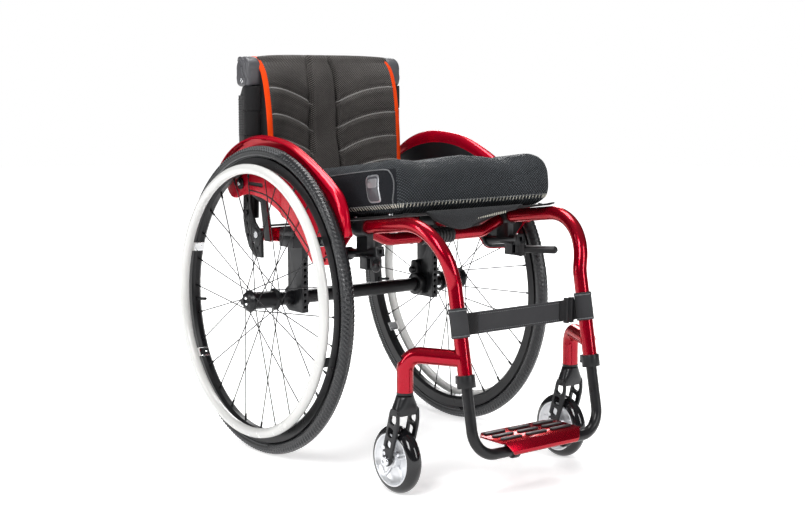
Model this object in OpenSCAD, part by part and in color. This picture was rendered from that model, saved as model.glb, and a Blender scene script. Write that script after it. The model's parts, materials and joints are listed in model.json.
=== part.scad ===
// Rigid-frame active manual wheelchair.
// +Z is up and the chair faces -Y, so its own left side is +X.
// Every module is drawn about the rear axle: y = 0 at the axle, z = 0 on the floor.

/* [Rear wheels] */
// Radius over the tyre tread
wheel_r = 295; // [280:1:305]
// Width of the tyre
tyre_w = 25; // [23:1:27]
// Distance from the middle of the chair to the middle of a rear wheel, at its hub
wheel_x = 232.7; // [230:0.1:240]
// Lean of the wheels, tops inward, in degrees
camber = 1.5; // [1:0.1:2]
// Radius of the handrim at the middle of its tube
handrim_r = 251.4; // [245:0.1:256]
// Diameter of the handrim tube
handrim_d = 19; // [16:1:20]

/* [Castors] */
// Radius of a castor wheel
castor_r = 60; // [58:1:62]
// Width of a castor tyre
castor_w = 30; // [26:1:32]
// Distance from the middle of the chair to a castor pivot
castor_x = 197; // [195:1:200]

/* [Frame] */
// Outside diameter of the frame tube
tube_d = 25.4; // [25:0.1:26]
// Distance from the middle of the chair to a seat tube
seat_x = 171; // [169:0.5:172]
// Height of the seat tube above the rear axle
seat_z = 421; // [416:1:424]
// Distance from the middle of the chair to a front tube
shin_x = 147; // [145:0.5:149]
// Radius of the knee bend, at the middle of the tube
knee_r = 92; // [86:1:96]

/* [Footrest] */
// Outside diameter of the sliding foot tube
foot_d = 19; // [18.8:0.1:19]
// Height of the middle of the foot tube's lowest run
foot_z = 85; // [80:1:95]

/* [Seat and back] */
// Thickness of the cushion
cushion_h = 94; // [70:1:96]
// Half the width of the cushion where it passes the guards' blades
cushion_x = 186; // [176:1:188]
// Half the width of the cushion in front of the guards' blades
cushion_wide = 194; // [186:1:196]
// Height of the middle of the back upholstery's top edge
back_top = 760; // [740:1:762]

/* [Hidden] */
$fn = 64;

// Reach of the footplate's front edge in front of the rear axle.
front_reach = 548;
// Half the difference between front and rear puts the origin in the middle of the length.
axle_y = (front_reach - wheel_r) / 2;
// The leaning tyre still touches the floor.
tyre_r = tyre_w / 2;
axle_z = (wheel_r - tyre_r) * cos(camber) + tyre_r;

// Seat tube line: it rises towards the front.
seat_rise = 0.125;
seat_angle = atan(seat_rise);
function seat_point(y) = [seat_x, y, seat_z - seat_rise * y];
rear_end = seat_point(118);
knee = seat_point(-457.5);
// Front tube: a slight second bend, then straight down to the collar.
shin_top = [shin_x, -472.5, 372];
shin_slope = 0.1946;
function shin_point(z) = [shin_x, shin_top.y - shin_slope * (shin_top.z - z), z];
shin_end = shin_point(205);
shin_r = 60;
tube_bore = 19.2;

// Castor
pivot_y = -401;
castor_trail = 22.5;
castor_axle = [castor_x, pivot_y + castor_trail, castor_r];
arm_d = 28.6;
arm_z = 249;
housing_z = 182.5;
headset_d = 24;
stem_d = 12;
fork_top = 177;
fork_in = castor_w / 2 + 3.5;
fork_t = 5.5;
castor_bolt_d = 8;
castor_rim_r = castor_r - 13;

// Axle
axle_tube_d = 27;
axle_tube_bore = 21.6;
axle_tube_z = axle_z - 2;
axle_tube_x = 180;
stem_x = [153, 167];
stem_y = [-40, 10];
stem_z = [axle_tube_z - 25, 399];
hole_pitch = 12;
adjust_hole_d = 6.5;

// Rear wheel, measured from the hub's middle along the leaning axle
quick_d = 12.6;
bearing_bore = 12.7;
bearing_d = 28.6;
bearing_w = 8;
hub_half = 32;
flange_r = 21;
flange_in = -28.4;
flange_out = 27;
rim_in_r = 250;
rim_out_r = 272;
handrim_x = 28.9;
spoke_count = 28;
// The valve stands midway between two spokes
valve_at = -0.5 * 360 / spoke_count;
spoke_d = 2;

// Seat
sling_t = 5;
sling_x = 181;
sling_z = tube_d / 2;
sling_front = -380;
sling_back = 84;
cushion_z = sling_z + sling_t;
cushion_front = -374;
cushion_back = 45;
cushion_corner = 25;

// Backrest
back_pivot = [0, 85, seat_z - seat_rise * 85];
bracket_x = seat_x + tube_d / 2 + 0.4;
bracket_t = 6;
post_bolts = [452, 476];
post_low = [seat_x, 131, 440];
post_high = [seat_x, 124, 702];
handle_pivot = [seat_x, 134, 713];
grip_back = 20;
grip_low = 590;

// Wheel lock
lock_pivot = [173, -286, 391.5];
lock_rest = 36.5;
lock_rod_d = 15;
lock_reach = 72;
bar_rear = [168, -200, 400.5];
bar_front = [168, -284, 411];
bar_d = 16.5;

foot_y = shin_point(foot_z).y;
strap_z = [283, 321];
strap_y = -470.5;

// A bend laps a little over the straight rods beside it, in degrees and mm, and is a hair thicker,
// so that the pieces of a bent tube join cleanly.
bend_lap = 0.5;
rod_lap = 0.5;
bend_swell = 0.2;

// ---- helpers ----

function unit(v) = v / norm(v);
function turn(a, b, c) = acos(unit(b - a) * unit(c - b));
function setback(a, b, c, r) = r * tan(turn(a, b, c) / 2);

// The same thing on the chair's left (+1) or mirrored to its right (-1).
module on_side(side) {
    if (side > 0) children();
    else mirror([1, 0, 0]) children();
}

// Moves what is drawn about the rear axle to the part's origin.
module placed() translate([0, axle_y, 0]) children();

// Round bar from a to b.
module rod(a, b, d) {
    v = b - a;
    translate(a) rotate([0, acos(v.z / norm(v)), atan2(v.y, v.x)]) cylinder(h = norm(v), d = d);
}

// Quarter-torus style bend at b, on the way from a to c.
module elbow(a, b, c, r, d) {
    u = unit(b - a);
    w = unit(c - b);
    n = unit(w - u * (u * w));
    o = b - u * setback(a, b, c, r) + n * r;
    k = cross(-n, u);
    multmatrix([[-n.x, u.x, k.x, o.x], [-n.y, u.y, k.y, o.y], [-n.z, u.z, k.z, o.z], [0, 0, 0, 1]])
        rotate([0, 0, -bend_lap]) rotate_extrude(angle = turn(a, b, c) + 2 * bend_lap)
            translate([r, 0]) circle(d = d + bend_swell);
}

// Bent bar through points p, with a bend of radius r[i] at each inner point.
module bent_rod(p, r, d) {
    last = len(p) - 1;
    for (i = [0 : last - 1]) {
        dir = unit(p[i + 1] - p[i]);
        cut_a = i == 0 ? 0 : setback(p[i - 1], p[i], p[i + 1], r[i - 1]) - rod_lap;
        cut_b = i == last - 1 ? 0 : setback(p[i], p[i + 1], p[i + 2], r[i]) - rod_lap;
        rod(p[i] + dir * cut_a, p[i + 1] - dir * cut_b, d);
    }
    for (i = [1 : last - 1]) elbow(p[i - 1], p[i], p[i + 1], r[i - 1], d);
}

// Bent tube with an open bore.
module bent_tube(p, r, d, bore) {
    last = len(p) - 1;
    long = [for (i = [0 : last])
        i == 0 ? p[0] - unit(p[1] - p[0]) * 2
        : i == last ? p[last] + unit(p[last] - p[last - 1]) * 2 : p[i]];
    difference() {
        bent_rod(p, r, d);
        bent_rod(long, r, bore);
    }
}

// Ring along X, from x0 to x1.
module ring_x(x0, x1, d, bore) {
    translate([x0, 0, 0]) rotate([0, 90, 0]) difference() {
        cylinder(h = x1 - x0, d = d);
        translate([0, 0, -1]) cylinder(h = x1 - x0 + 2, d = bore);
    }
}

module pin_x(x0, x1, d) translate([x0, 0, 0]) rotate([0, 90, 0]) cylinder(h = x1 - x0, d = d);

// Plate in the Y-Z plane from x0 to x1.
module plate_x(x0, x1) translate([x0, 0, 0]) rotate([90, 0, 90]) linear_extrude(x1 - x0) children();

// A shape turned about the X axis; its outline is given as radius and x.
module turned(from = 0, to = 360) {
    rotate([90, 0, 90]) rotate([0, 0, from]) rotate_extrude(angle = to - from) children();
}

module block(a, b) translate(a) cube(b - a);

module round_rect(a, b, r) {
    translate([a.x + r, a.y]) square([b.x - a.x - 2 * r, b.y - a.y]);
    translate([a.x, a.y + r]) square([b.x - a.x, b.y - a.y - 2 * r]);
    for (x = [a.x + r, b.x - r], y = [a.y + r, b.y - r]) translate([x, y]) circle(r);
}

// The leaning frame of the left rear wheel: x runs out along its axle.
module wheel_frame(side) {
    placed() on_side(side) translate([wheel_x, 0, axle_z]) rotate([0, -camber, 0]) children();
}

// The sloping frame of the seat: y runs along the seat tubes, z = 0 on their middles.
module seat_frame() placed() translate([0, 0, seat_z]) rotate([-seat_angle, 0, 0]) children();

// ---- frame ----

frame_points = [rear_end, knee, shin_top, shin_end];

module side_frame(side) {
    color("crimson") placed() on_side(side)
        bent_tube(frame_points, [knee_r, shin_r], tube_d, tube_bore);
}

module cross_tube() {
    drop = 26;
    level_x = 112;
    y = -240;
    top = seat_point(y);
    low_z = top.z - drop;
    color("crimson") placed() difference() {
        bent_rod([[-seat_x, y, top.z], [-level_x, y, low_z], [level_x, y, low_z], [seat_x, y, top.z]],
            [45, 45], 22.2);
        for (side = [-1, 1]) on_side(side) rod(seat_point(-300), seat_point(-180), tube_d);
    }
}

module cross_tube_grip() {
    y = -240;
    z = seat_point(y).z - 26;
    ribs = 10;
    length = 76;
    pitch = length / ribs;
    color("dimgray") placed() translate([0, y, z]) difference() {
        union() {
            pin_x(-length / 2, length / 2, 26);
            for (i = [0 : ribs - 1]) {
                x = -length / 2 + i * pitch;
                pin_x(x + 1, x + pitch - 1.5, 30);
            }
        }
        pin_x(-length, length, 22.2);
    }
}

module castor_arm(side) {
    color("crimson") placed() on_side(side) difference() {
        bent_rod([shin_point(arm_z), [castor_x, pivot_y, arm_z], [castor_x, pivot_y, housing_z]],
            [30], arm_d);
        rod(shin_point(shin_top.z - 20), shin_end, tube_d);
        translate([castor_x, pivot_y, housing_z - 1]) cylinder(h = 64, d = headset_d);
    }
}

module headset_bearings() {
    color("silver") placed() for (side = [-1, 1]) on_side(side) translate([castor_x, pivot_y, 0])
        for (z = [housing_z + 1.5, housing_z + 44]) translate([0, 0, z]) difference() {
            cylinder(h = 8, d = headset_d);
            translate([0, 0, -1]) cylinder(h = 10, d = stem_d + 0.1);
        }
    color("black") placed() for (side = [-1, 1]) on_side(side) translate([castor_x, pivot_y, housing_z - 4])
        difference() {
            cylinder(h = 4, d = arm_d + 0.6);
            translate([0, 0, -1]) cylinder(h = 6, d = stem_d + 4);
        }
}

module tube_collars() {
    top = shin_point(222);
    low = shin_point(201);
    color("black") placed() for (side = [-1, 1]) on_side(side) difference() {
        union() {
            rod(top, low, 32);
            translate([shin_x - 5, low.y + 12, 205]) cube([10, 12, 14]);
        }
        rod(shin_point(240), shin_end, tube_d);
        rod(shin_point(240), shin_point(180), tube_bore);
        translate([shin_x - 1, low.y + 8, 200]) cube([2, 20, 30]);
    }
}

// ---- axle ----

module axle_tube() {
    color("black") placed() translate([0, 0, axle_tube_z])
        ring_x(-axle_tube_x, axle_tube_x, axle_tube_d, axle_tube_bore);
}

module axle_receivers() {
    for (side = [-1, 1]) color("dimgray") wheel_frame(side) difference() {
        union() {
            pin_x(-86, -hub_half - 1, 20.2);
            pin_x(-52, -42, 26);
        }
        pin_x(-90, -hub_half, quick_d + 0.1);
    }
}

module axle_stem(side) {
    hub_low = stem_z[0] + 12;
    color([0.14, 0.14, 0.15]) placed() on_side(side) difference() {
        union() {
            block([stem_x[0], stem_y[0], stem_z[0]], [stem_x[1], stem_y[1], stem_z[1]]);
            translate([0, 0, axle_tube_z]) pin_x(stem_x[0], stem_x[1], 50);
            block([stem_x[0], -43, 396], [189, 5, 416]);
            rod(seat_point(-43), seat_point(5), 36);
        }
        rod(seat_point(-80), seat_point(40), tube_d);
        seat_clear();
        translate([0, 0, axle_tube_z]) pin_x(stem_x[0] - 1, stem_x[1] + 1, axle_tube_d);
        // The lower holes stop short of the axle tube; the upper ones go right through
        for (i = [0 : 8]) translate([(stem_x[0] + stem_x[1]) / 2, i < 4 ? -22 : 60, 279 + i * hole_pitch])
            rotate([90, 0, 0]) cylinder(h = 120, d = adjust_hole_d);
    }
}

module axle_clamps() {
    x0 = 137;
    color("black") placed() for (side = [-1, 1]) on_side(side) difference() {
        union() {
            translate([0, 0, axle_tube_z]) pin_x(x0, stem_x[0], 44);
            block([x0 + 4, -2, axle_tube_z], [stem_x[0], 16, 334]);
            translate([0, 7, 334]) pin_x(x0 + 4, stem_x[0], 18);
            translate([0, 7, 322]) pin_x(x0 - 4, x0 + 4, 13);
        }
        translate([0, 0, axle_tube_z]) pin_x(x0 - 10, stem_x[0] + 1, axle_tube_d);
    }
}

module quick_axles() {
    for (side = [-1, 1]) color("silver") wheel_frame(side) difference() {
        union() {
            pin_x(-88, hub_half + 2, quick_d);
            pin_x(hub_half + 1, hub_half + 4, 19);
            for (a = [45 : 90 : 315]) rotate([a, 0, 0]) translate([-87, 0, quick_d / 2 - 0.6]) sphere(d = 3.6);
        }
        pin_x(-60, hub_half + 5, 7.1);
    }
}

// ---- seat ----

module seat_sling() {
    color([0.08, 0.08, 0.09]) seat_frame() difference() {
        block([-sling_x, sling_front, sling_z], [sling_x, sling_back, sling_z + sling_t]);
        for (side = [-1, 1]) on_side(side) rotate([seat_angle, 0, 0]) translate([0, 0, -seat_z])
            elbow(rear_end, knee, shin_top, knee_r, tube_d);
    }
}

module sling_flap() {
    base = sling_z + sling_t;
    color([0.22, 0.22, 0.23]) seat_frame()
        plate_y(sling_front - 2.5, sling_front, [[-134, base], [92, base], [84, base - 5], [34, base - 13],
            [-22, base - 30], [-62, base - 35], [-92, base - 27], [-120, base - 14]]);
}

// Plate in the X-Z plane between y0 and y1.
module plate_y(y0, y1, outline) {
    translate([0, y1, 0]) rotate([90, 0, 0]) linear_extrude(y1 - y0) polygon(outline);
}

// Places along both seat tubes where the sling is screwed down.
module at_screws(places) {
    for (side = [-1, 1]) on_side(side)
        for (y = places) translate([176.5, y, sling_z + sling_t]) children();
}

module frame_fasteners() {
    color("silver") seat_frame() at_screws([-340, -235, -130, -25, 60]) cylinder(h = 2.5, d = 8);
    // Rear end plugs of the seat tubes
    color("black") placed() for (side = [-1, 1]) on_side(side) {
        rod(rear_end, rear_end + [0, 3, -3 * seat_rise], tube_d);
        rod(rear_end - [0, 12, -12 * seat_rise], rear_end, tube_bore);
    }
    // Bolts the backrest brackets swing on
    for (side = [-1, 1]) color("silver") placed() on_side(side)
        translate([0, back_pivot.y, back_pivot.z]) {
            pin_x(seat_x + tube_d / 2 + 0.02, bracket_x + bracket_t + 0.5, 8);
            pin_x(bracket_x + bracket_t + 0.4, bracket_x + bracket_t + 3, 13);
        }
}

// A blade from each seat tube up to the knob that holds its side guard.
module guard_holders() {
    x0 = bracket_x + bracket_t + 1.6;
    color("black") for (side = [-1, 1]) {
        placed() on_side(side) difference() {
            union() {
                plate_x(x0, x0 + 4) polygon([[27, 402], [48, 402], [62, 476], [122, 500], [126, 512],
                    [118, 524], [104, 524], [42, 486]]);
                plate_x(seat_x, x0 + 1) polygon([[27, 404], [44, 404], [44, 428], [27, 428]]);
                rod(seat_point(27), seat_point(44), 33);
            }
            rod(seat_point(-20), seat_point(80), tube_d);
            seat_clear();
        }
        wheel_frame(side) translate([0, 113, 217]) {
            pin_x(-33, -19.15, 7);
            pin_x(-19.15, -14.5, 15);
        }
    }
}

// The space of the sling and the cushion, kept clear.
module seat_clear() {
    translate([0, 0, seat_z]) rotate([-seat_angle, 0, 0])
        block([-cushion_x - 1, sling_front, sling_z - 0.01], [cushion_x + 1, sling_back, 140]);
}

module cushion() {
    step_y = -2;
    color([0.1, 0.1, 0.11]) seat_frame() difference() {
        union() {
            cushion_length(cushion_x, step_y - 1, cushion_back);
            cushion_length(cushion_wide, cushion_front, step_y);
        }
        // Room for the heads of the sling's screws
        at_screws([-340, -235, -130, -25]) translate([0, 0, -1]) cylinder(h = 4.6, d = 10);
    }
}

// A length of the cushion, from y0 to y1.
module cushion_length(half, y0, y1) {
    translate([0, y1, 0]) rotate([90, 0, 0]) linear_extrude(y1 - y0)
        round_rect([-half, cushion_z], [half, cushion_z + cushion_h], cushion_corner);
}

// ---- side guards ----

guard_r = 300;
guard_from = 52;
guard_to = 152;
guard_low = [[-212, 84], [-150, 84], [-98, 120], [-47, 154], [0, 187], [34, 197], [66, 199], [98, 190],
    [122, 184], [146, 192], [160, 214]];

module side_guard(side) {
    edge = [for (i = [0 : 24]) let (a = guard_from + i * (guard_to - guard_from) / 24)
        (guard_r - 2) * [cos(a), sin(a)]];
    color("crimson") wheel_frame(side) union() {
        difference() {
            plate_x(-22.2, -19.2) polygon(concat(edge, guard_low));
            translate([0, 113, 217]) pin_x(-30, -10, 7.2);
            plate_x(-30, -10) polygon([[35, 214], [86, 215], [86, 221], [35, 221]]);
        }
        turned(guard_from, guard_to)
            polygon([[guard_r - 4, -22.5], [guard_r, -22.5], [312, -15], [314, -9], [312, -1], [309, 0],
                [311, -8], [309.6, -12.6], [guard_r - 1, -18.9], [guard_r - 4, -18.9]]);
    }
}

// ---- wheel locks ----

module lock_mount(side) {
    mid = (bar_rear + bar_front) / 2;
    color([0.25, 0.26, 0.27]) placed() on_side(side) difference() {
        union() {
            rod(bar_rear, bar_front, bar_d);
            rod(bar_rear, bar_rear + [0, 6, -0.75], 24);
            translate(bar_front) rotate([-seat_angle, 0, 0]) translate([-9, -8, -9]) cube([18, 8, 18]);
            // Web up to the saddle on the seat tube
            block([161, -262, bar_rear.z + 2], [175, -230, seat_point(-246).z - 8]);
            rod(seat_point(-262), seat_point(-230), 33);
            // Fork that holds the lock's pivot
            block([160, -274, 399.6], [186, -240, 403.5]);
            block([162, -274, 379], [184, -252, 399.6]);
            for (z = [379, 399.6]) hull_free_tab(z);
            translate([lock_pivot.x, lock_pivot.y, 377]) cylinder(h = 28, d = 6);
        }
        rod(seat_point(-300), seat_point(-200), tube_d);
        // Room for the sloping end of the cross tube
        rod([112, -240, seat_point(-240).z - 26], seat_point(-240), 23);
        seat_clear();
        translate(bar_front) rotate([-seat_angle, 0, 0]) translate([-4, -9, -4]) cube([8, 7, 8]);
    }
}

// One ear of the lock's fork: a bar with a round end under the pivot.
module hull_free_tab(z) {
    translate([lock_pivot.x, lock_pivot.y, z]) cylinder(h = 4, r = 10);
    block([lock_pivot.x - 10, lock_pivot.y, z], [lock_pivot.x + 10, -262, z + 4]);
}

module lock_arm(side) {
    out = [sin(lock_rest), -cos(lock_rest), 0];
    end = lock_pivot + out * (lock_reach - lock_rod_d / 2);
    color([0.05, 0.05, 0.06]) placed() on_side(side) difference() {
        union() {
            translate([lock_pivot.x, lock_pivot.y, 383.4]) cylinder(h = 15.8, r = 10.5);
            rod(lock_pivot, end, lock_rod_d);
            translate(end) sphere(d = lock_rod_d + bend_swell);
        }
        translate([lock_pivot.x, lock_pivot.y, 370]) cylinder(h = 40, d = 6.1);
    }
}

// ---- calf strap ----

module calf_strap() {
    t = 2.5;
    color([0.16, 0.17, 0.18]) placed() difference() {
        union() {
            block([-shin_x, strap_y - t, strap_z[0]], [shin_x, strap_y, strap_z[1]]);
            for (side = [-1, 1]) on_side(side) rod(shin_point(284), shin_point(333), 31);
        }
        for (side = [-1, 1]) on_side(side) rod(shin_point(270), shin_point(350), tube_d);
    }
}

module strap_buckles() {
    t = 2.5;
    color("black") placed() for (x = [112, 124])
        difference() {
            block([x, strap_y - t - 3, strap_z[0] - 4], [x + 7, strap_y + 3, strap_z[1] + 4]);
            block([x - 1, strap_y - t - 0.3, strap_z[0] - 0.5], [x + 8, strap_y + 0.3, strap_z[1] + 0.5]);
        }
}

// ---- backrest ----

module back_bracket(side) {
    plate = [[134, 488], [112, 488], [105, 455], [96, 434], [84, 424], [70, 416], [69, 366], [94, 366],
        [116, 384], [130, 412], [136, 440]];
    x0 = bracket_x;
    x1 = bracket_x + bracket_t;
    color([0.13, 0.13, 0.14]) placed() on_side(side) difference() {
        plate_x(x0, x1) polygon(plate);
        translate([0, back_pivot.y, back_pivot.z]) pin_x(x0 - 1, x1 + 1, 8.1);
        for (p = [[82, 384], [118, 408], [121, 430]]) translate([0, p.x, p.y]) pin_x(x0 - 1, x1 + 1, 7);
        for (z = post_bolts) translate([0, 122, z]) pin_x(x0 - 1, x1 + 1, 7);
        translate([0, 80, 0]) plate_x(x0 - 1, x1 + 1) round_rect([16, 388], [26, 398], 4.9);
    }
}

module back_posts() {
    x1 = bracket_x + bracket_t;
    color("black") placed() for (side = [-1, 1]) on_side(side) {
        difference() {
            rod(post_low, post_high, tube_d);
            rod(post_low - [0, 0, 2], post_high + [0, 0, 2], 20);
        }
        // Bolts that hold the post to its bracket
        for (z = post_bolts) translate([0, 122, z]) {
            pin_x(bracket_x - 4, x1 + 0.5, 7);
            pin_x(x1, x1 + 3, 11);
        }
    }
}

// Stiffening bar behind the upholstery, from post to post.
module back_bar() {
    z = 505;
    end = seat_x - tube_d / 2 + 0.4;
    color("black") placed() difference() {
        bent_rod([[-end, 132, z], [-118, 166, z], [118, 166, z], [end, 132, z]], [34, 34], 14);
        for (side = [-1, 1]) on_side(side) rod(post_low, post_high, tube_d);
    }
}

back_edge_x = 157;
back_sag = 45;

module back_upholstery() {
    front = [for (i = [-10 : 10]) [i * back_edge_x / 10, 126 - back_sag * pow(i / 10, 2)]];
    rear = [[back_edge_x, 116], [120, 132], [60, 141], [0, 143], [-60, 141], [-120, 132],
        [-back_edge_x, 116]];
    color([0.2, 0.2, 0.2]) placed() translate([0, 0, 470])
        linear_extrude(back_top - 3 - 470) polygon(concat(front, rear));
}

module head_outline() {
    translate([136, 734]) circle(25);
    translate([111, 706]) square([50, 28]);
    translate([117, 700]) square([38, 10]);
    for (y = [117, 155]) translate([y, 706]) circle(6);
}

module handle_heads() {
    color([0.3, 0.3, 0.31]) placed() for (side = [-1, 1]) on_side(side) difference() {
        union() {
            plate_x(157, 188) head_outline();
            translate([0, handle_pivot.y, handle_pivot.z]) pin_x(187, 190, 11);
        }
        // Slot for the handle's tongue
        block([165.5, 116, 690], [178.5, 170, 727]);
        block([165.5, 134, 720], [178.5, 170, 748]);
        rod(post_low, post_high, tube_d);
    }
    color("silver") placed() for (side = [-1, 1]) on_side(side)
        translate([0, handle_pivot.y, handle_pivot.z]) pin_x(165, 179, 5.9);
}

module push_handle(side) {
    p = handle_pivot;
    color("black") placed() on_side(side) {
        difference() {
            union() {
                translate([0, p.y, p.z]) pin_x(166, 178, 20);
                plate_x(166, 178) polygon([[p.y + 2, p.z + 9], [p.y + 10, p.z], [p.y + 28, p.z - 32],
                    [p.y + 14, p.z - 32], [p.y + 6, p.z - 11], [p.y - 4, p.z - 8]]);
            }
            translate([0, p.y, p.z]) pin_x(160, 185, 6);
        }
        rod([172, p.y + grip_back, p.z - 30.5], [172, p.y + grip_back, grip_low], 24);
        translate([172, p.y + grip_back, grip_low]) sphere(d = 24);
    }
}

// ---- rear wheels ----

module tyre(side) {
    r = wheel_r - tyre_r;
    hook = 6;
    color([0.1, 0.1, 0.11]) wheel_frame(side) turned() difference() {
        union() {
            translate([r, 0]) circle(tyre_r);
            translate([rim_out_r - hook + 0.1, -6.4]) square([8, 12.8]);
        }
        translate([r, 0]) circle(tyre_r - 3.5);
        for (x = [-14, 6.4]) translate([rim_out_r - hook, x]) square([hook + 0.1, 7.6]);
    }
}

module rim(side) {
    half = 10.5;
    color([0.06, 0.06, 0.07]) wheel_frame(side) turned() difference() {
        polygon([[rim_in_r, -5], [rim_in_r, 5], [rim_in_r + 5, half], [rim_out_r, half],
            [rim_out_r, half - 2], [rim_out_r - 6, half - 4], [rim_out_r - 6, 4 - half],
            [rim_out_r, 2 - half], [rim_out_r, -half], [rim_in_r + 5, -half]]);
        polygon([[rim_in_r + 2, -4.5], [rim_in_r + 2, 4.5], [rim_in_r + 6, 7.5],
            [rim_out_r - 8, 6], [rim_out_r - 8, -6], [rim_in_r + 6, -7.5]]);
    }
    // The valve ends inside the bed of the rim, under the tyre
    color("silver") wheel_frame(side) rotate([valve_at, 0, 0]) translate([0, rim_in_r - 32, 0])
        rotate([-90, 0, 0]) cylinder(h = 47, d = 6);
}

// A spoke leaves its flange almost along the tangent and meets the rim between its neighbours.
module spokes(side) {
    step = 360 / spoke_count;
    lead = 78;
    color([0.1, 0.1, 0.1]) wheel_frame(side) for (i = [0 : spoke_count - 1]) {
        x = i % 2 == 0 ? flange_out : flange_in;
        way = floor(i / 2) % 2 == 0 ? 1 : -1;
        a = i * step;
        b = a - way * lead;
        r = flange_r - 3;
        foot = [x + way * 1.3, r * cos(b), r * sin(b)];
        tip = [0, (rim_in_r + 1) * cos(a), (rim_in_r + 1) * sin(a)];
        nipple = tip + unit(foot - tip) * 13;
        rod(foot, nipple, spoke_d);
        rod(nipple, tip, 4);
    }
}

module hub(side) {
    h = hub_half;
    seat = bearing_d / 2;
    color([0.08, 0.08, 0.09]) wheel_frame(side) turned() polygon([
        [9, bearing_w - h], [seat, bearing_w - h], [seat, -h], [18, -h], [18, flange_in - 1.5],
        [flange_r, flange_in - 1.5], [flange_r, flange_in + 1.5], [16.5, flange_in + 5],
        [16.5, flange_out - 5], [flange_r, flange_out - 1.5], [flange_r, flange_out + 1.5],
        [19, h - 1], [17, h + 2], [13, h + 4], [11, h + 4.4], [11, h + 2], [seat, h],
        [seat, h - bearing_w], [9, h - bearing_w]]);
}

module hub_bearings(side) {
    for (x = [-hub_half, hub_half - bearing_w]) color("silver") wheel_frame(side)
        ring_x(x, x + bearing_w, bearing_d, bearing_bore);
}

module handrim(side) {
    tabs = 6;
    step = 360 / spoke_count;
    color("white") wheel_frame(side) {
        turned() translate([handrim_r, handrim_x]) circle(d = handrim_d);
        // Each tab sits on the rim midway between two spokes
        for (i = [0 : tabs - 1]) rotate([(floor((i * spoke_count + 5) / tabs) + 1.5) * step - 90, 0, 0]) {
            block([-4, -9, rim_in_r - 3.2], [6, 9, rim_in_r - 0.2]);
            block([4, -9, rim_in_r - 3.2], [handrim_x, 9, rim_in_r - 0.2]);
        }
    }
}

module release_button(side) {
    color([0.05, 0.05, 0.06]) wheel_frame(side) {
        pin_x(-50, hub_half + 10, 7);
        pin_x(hub_half + 8.5, hub_half + 13, 12);
    }
}

// ---- castors ----

module castor_frame(side) placed() on_side(side) translate([castor_axle.x, castor_axle.y, 0]) children();

fork_outline = [[-36, 153], [-9, 153], [-3, 130], [2.5, 104], [10, 84], [10, 58], [5, 50], [-5, 50],
    [-12, 58], [-19, 82], [-28, 108], [-34, 130], [-37, 146]];
fork_windows = [
    [[-31, 142], [-13, 142], [-9, 129], [-26, 124]],
    [[-24, 117], [-7.5, 121], [-3, 105], [-19, 101]],
    [[-17, 95], [-3, 98], [2, 86], [-11, 80]]];

module castor_fork(side) {
    stem_y = -castor_trail;
    nut_z = housing_z + 52.4;
    color([0.12, 0.12, 0.13]) castor_frame(side) difference() {
        union() {
            for (s = [-1, 1]) plate_x(s > 0 ? fork_in : -fork_in - fork_t, s > 0 ? fork_in + fork_t : -fork_in)
                polygon(fork_outline);
            translate([0, stem_y, 0]) plate_y(-14, 14, [[-15, 169], [15, 169], [fork_in + fork_t, 153],
                [fork_in + fork_t, 143], [fork_in, 141], [-fork_in, 141], [-fork_in - fork_t, 143],
                [-fork_in - fork_t, 153]]);
            translate([0, stem_y, 160]) cylinder(h = fork_top - 160, d = 30);
        }
        for (w = fork_windows) plate_x(-40, 40) polygon(w);
        translate([0, 0, castor_r]) pin_x(-40, 40, castor_bolt_d);
        for (p = [[4.5, 73], [6, 83]]) translate([0, p.x, p.y]) pin_x(-40, 40, 4);
        translate([0, -castor_trail, 0]) cylinder(h = 141, r = 14);
    }
    color("silver") castor_frame(side) {
        translate([0, stem_y, fork_top]) cylinder(h = nut_z - fork_top, d = stem_d);
        translate([0, stem_y, nut_z]) cylinder(h = 7, d = 19);
        translate([0, 0, castor_r]) {
            pin_x(-fork_in - fork_t, fork_in + fork_t, castor_bolt_d);
            pin_x(-fork_in - fork_t - 5, -fork_in - fork_t, 13);
            pin_x(fork_in + fork_t, fork_in + fork_t + 5, 13);
            for (x = [-fork_in - 0.1, fork_in - 3.4]) pin_x(x, x + 3.5, 12);
        }
    }
}

module castor_tyre(side) {
    half = castor_w / 2;
    color([0.06, 0.06, 0.07]) castor_frame(side) translate([0, 0, castor_r]) turned() intersection() {
        translate([castor_r - half, 0]) circle(half);
        translate([castor_rim_r, -half]) square([half, castor_w]);
    }
}

module castor_hub(side) {
    half = castor_w / 2 - 0.4;
    r = castor_rim_r;
    color("silver") castor_frame(side) translate([0, 0, castor_r]) {
        difference() {
            union() {
                turned() polygon([[r - 6, -half], [r, -half], [r, half], [r - 6, half], [r - 5, 3], [r - 5, -3]]);
                turned() polygon([[11, -half], [14, -half], [14, -2], [r - 3, -2], [r - 3, 2], [14, 2],
                    [14, half], [11, half], [11, half - 7], [5, half - 7], [5, 7 - half], [11, 7 - half]]);
            }
            for (i = [0 : 4]) rotate([i * 72, 0, 0]) translate([0, 0, 27]) pin_x(-10, 10, 17);
        }
        for (x = [-half, half - 7]) ring_x(x, x + 7, 22, castor_bolt_d + 0.1);
    }
}

// ---- footrest ----

module foot_tube() {
    leg = 287;
    color([0.05, 0.05, 0.06]) placed() bent_tube([
        [-shin_x, shin_point(leg).y, leg], [-shin_x, foot_y, foot_z],
        [shin_x, foot_y, foot_z], [shin_x, shin_point(leg).y, leg]], [45, 45], foot_d, 15);
}

plate_top = 104;

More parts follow.
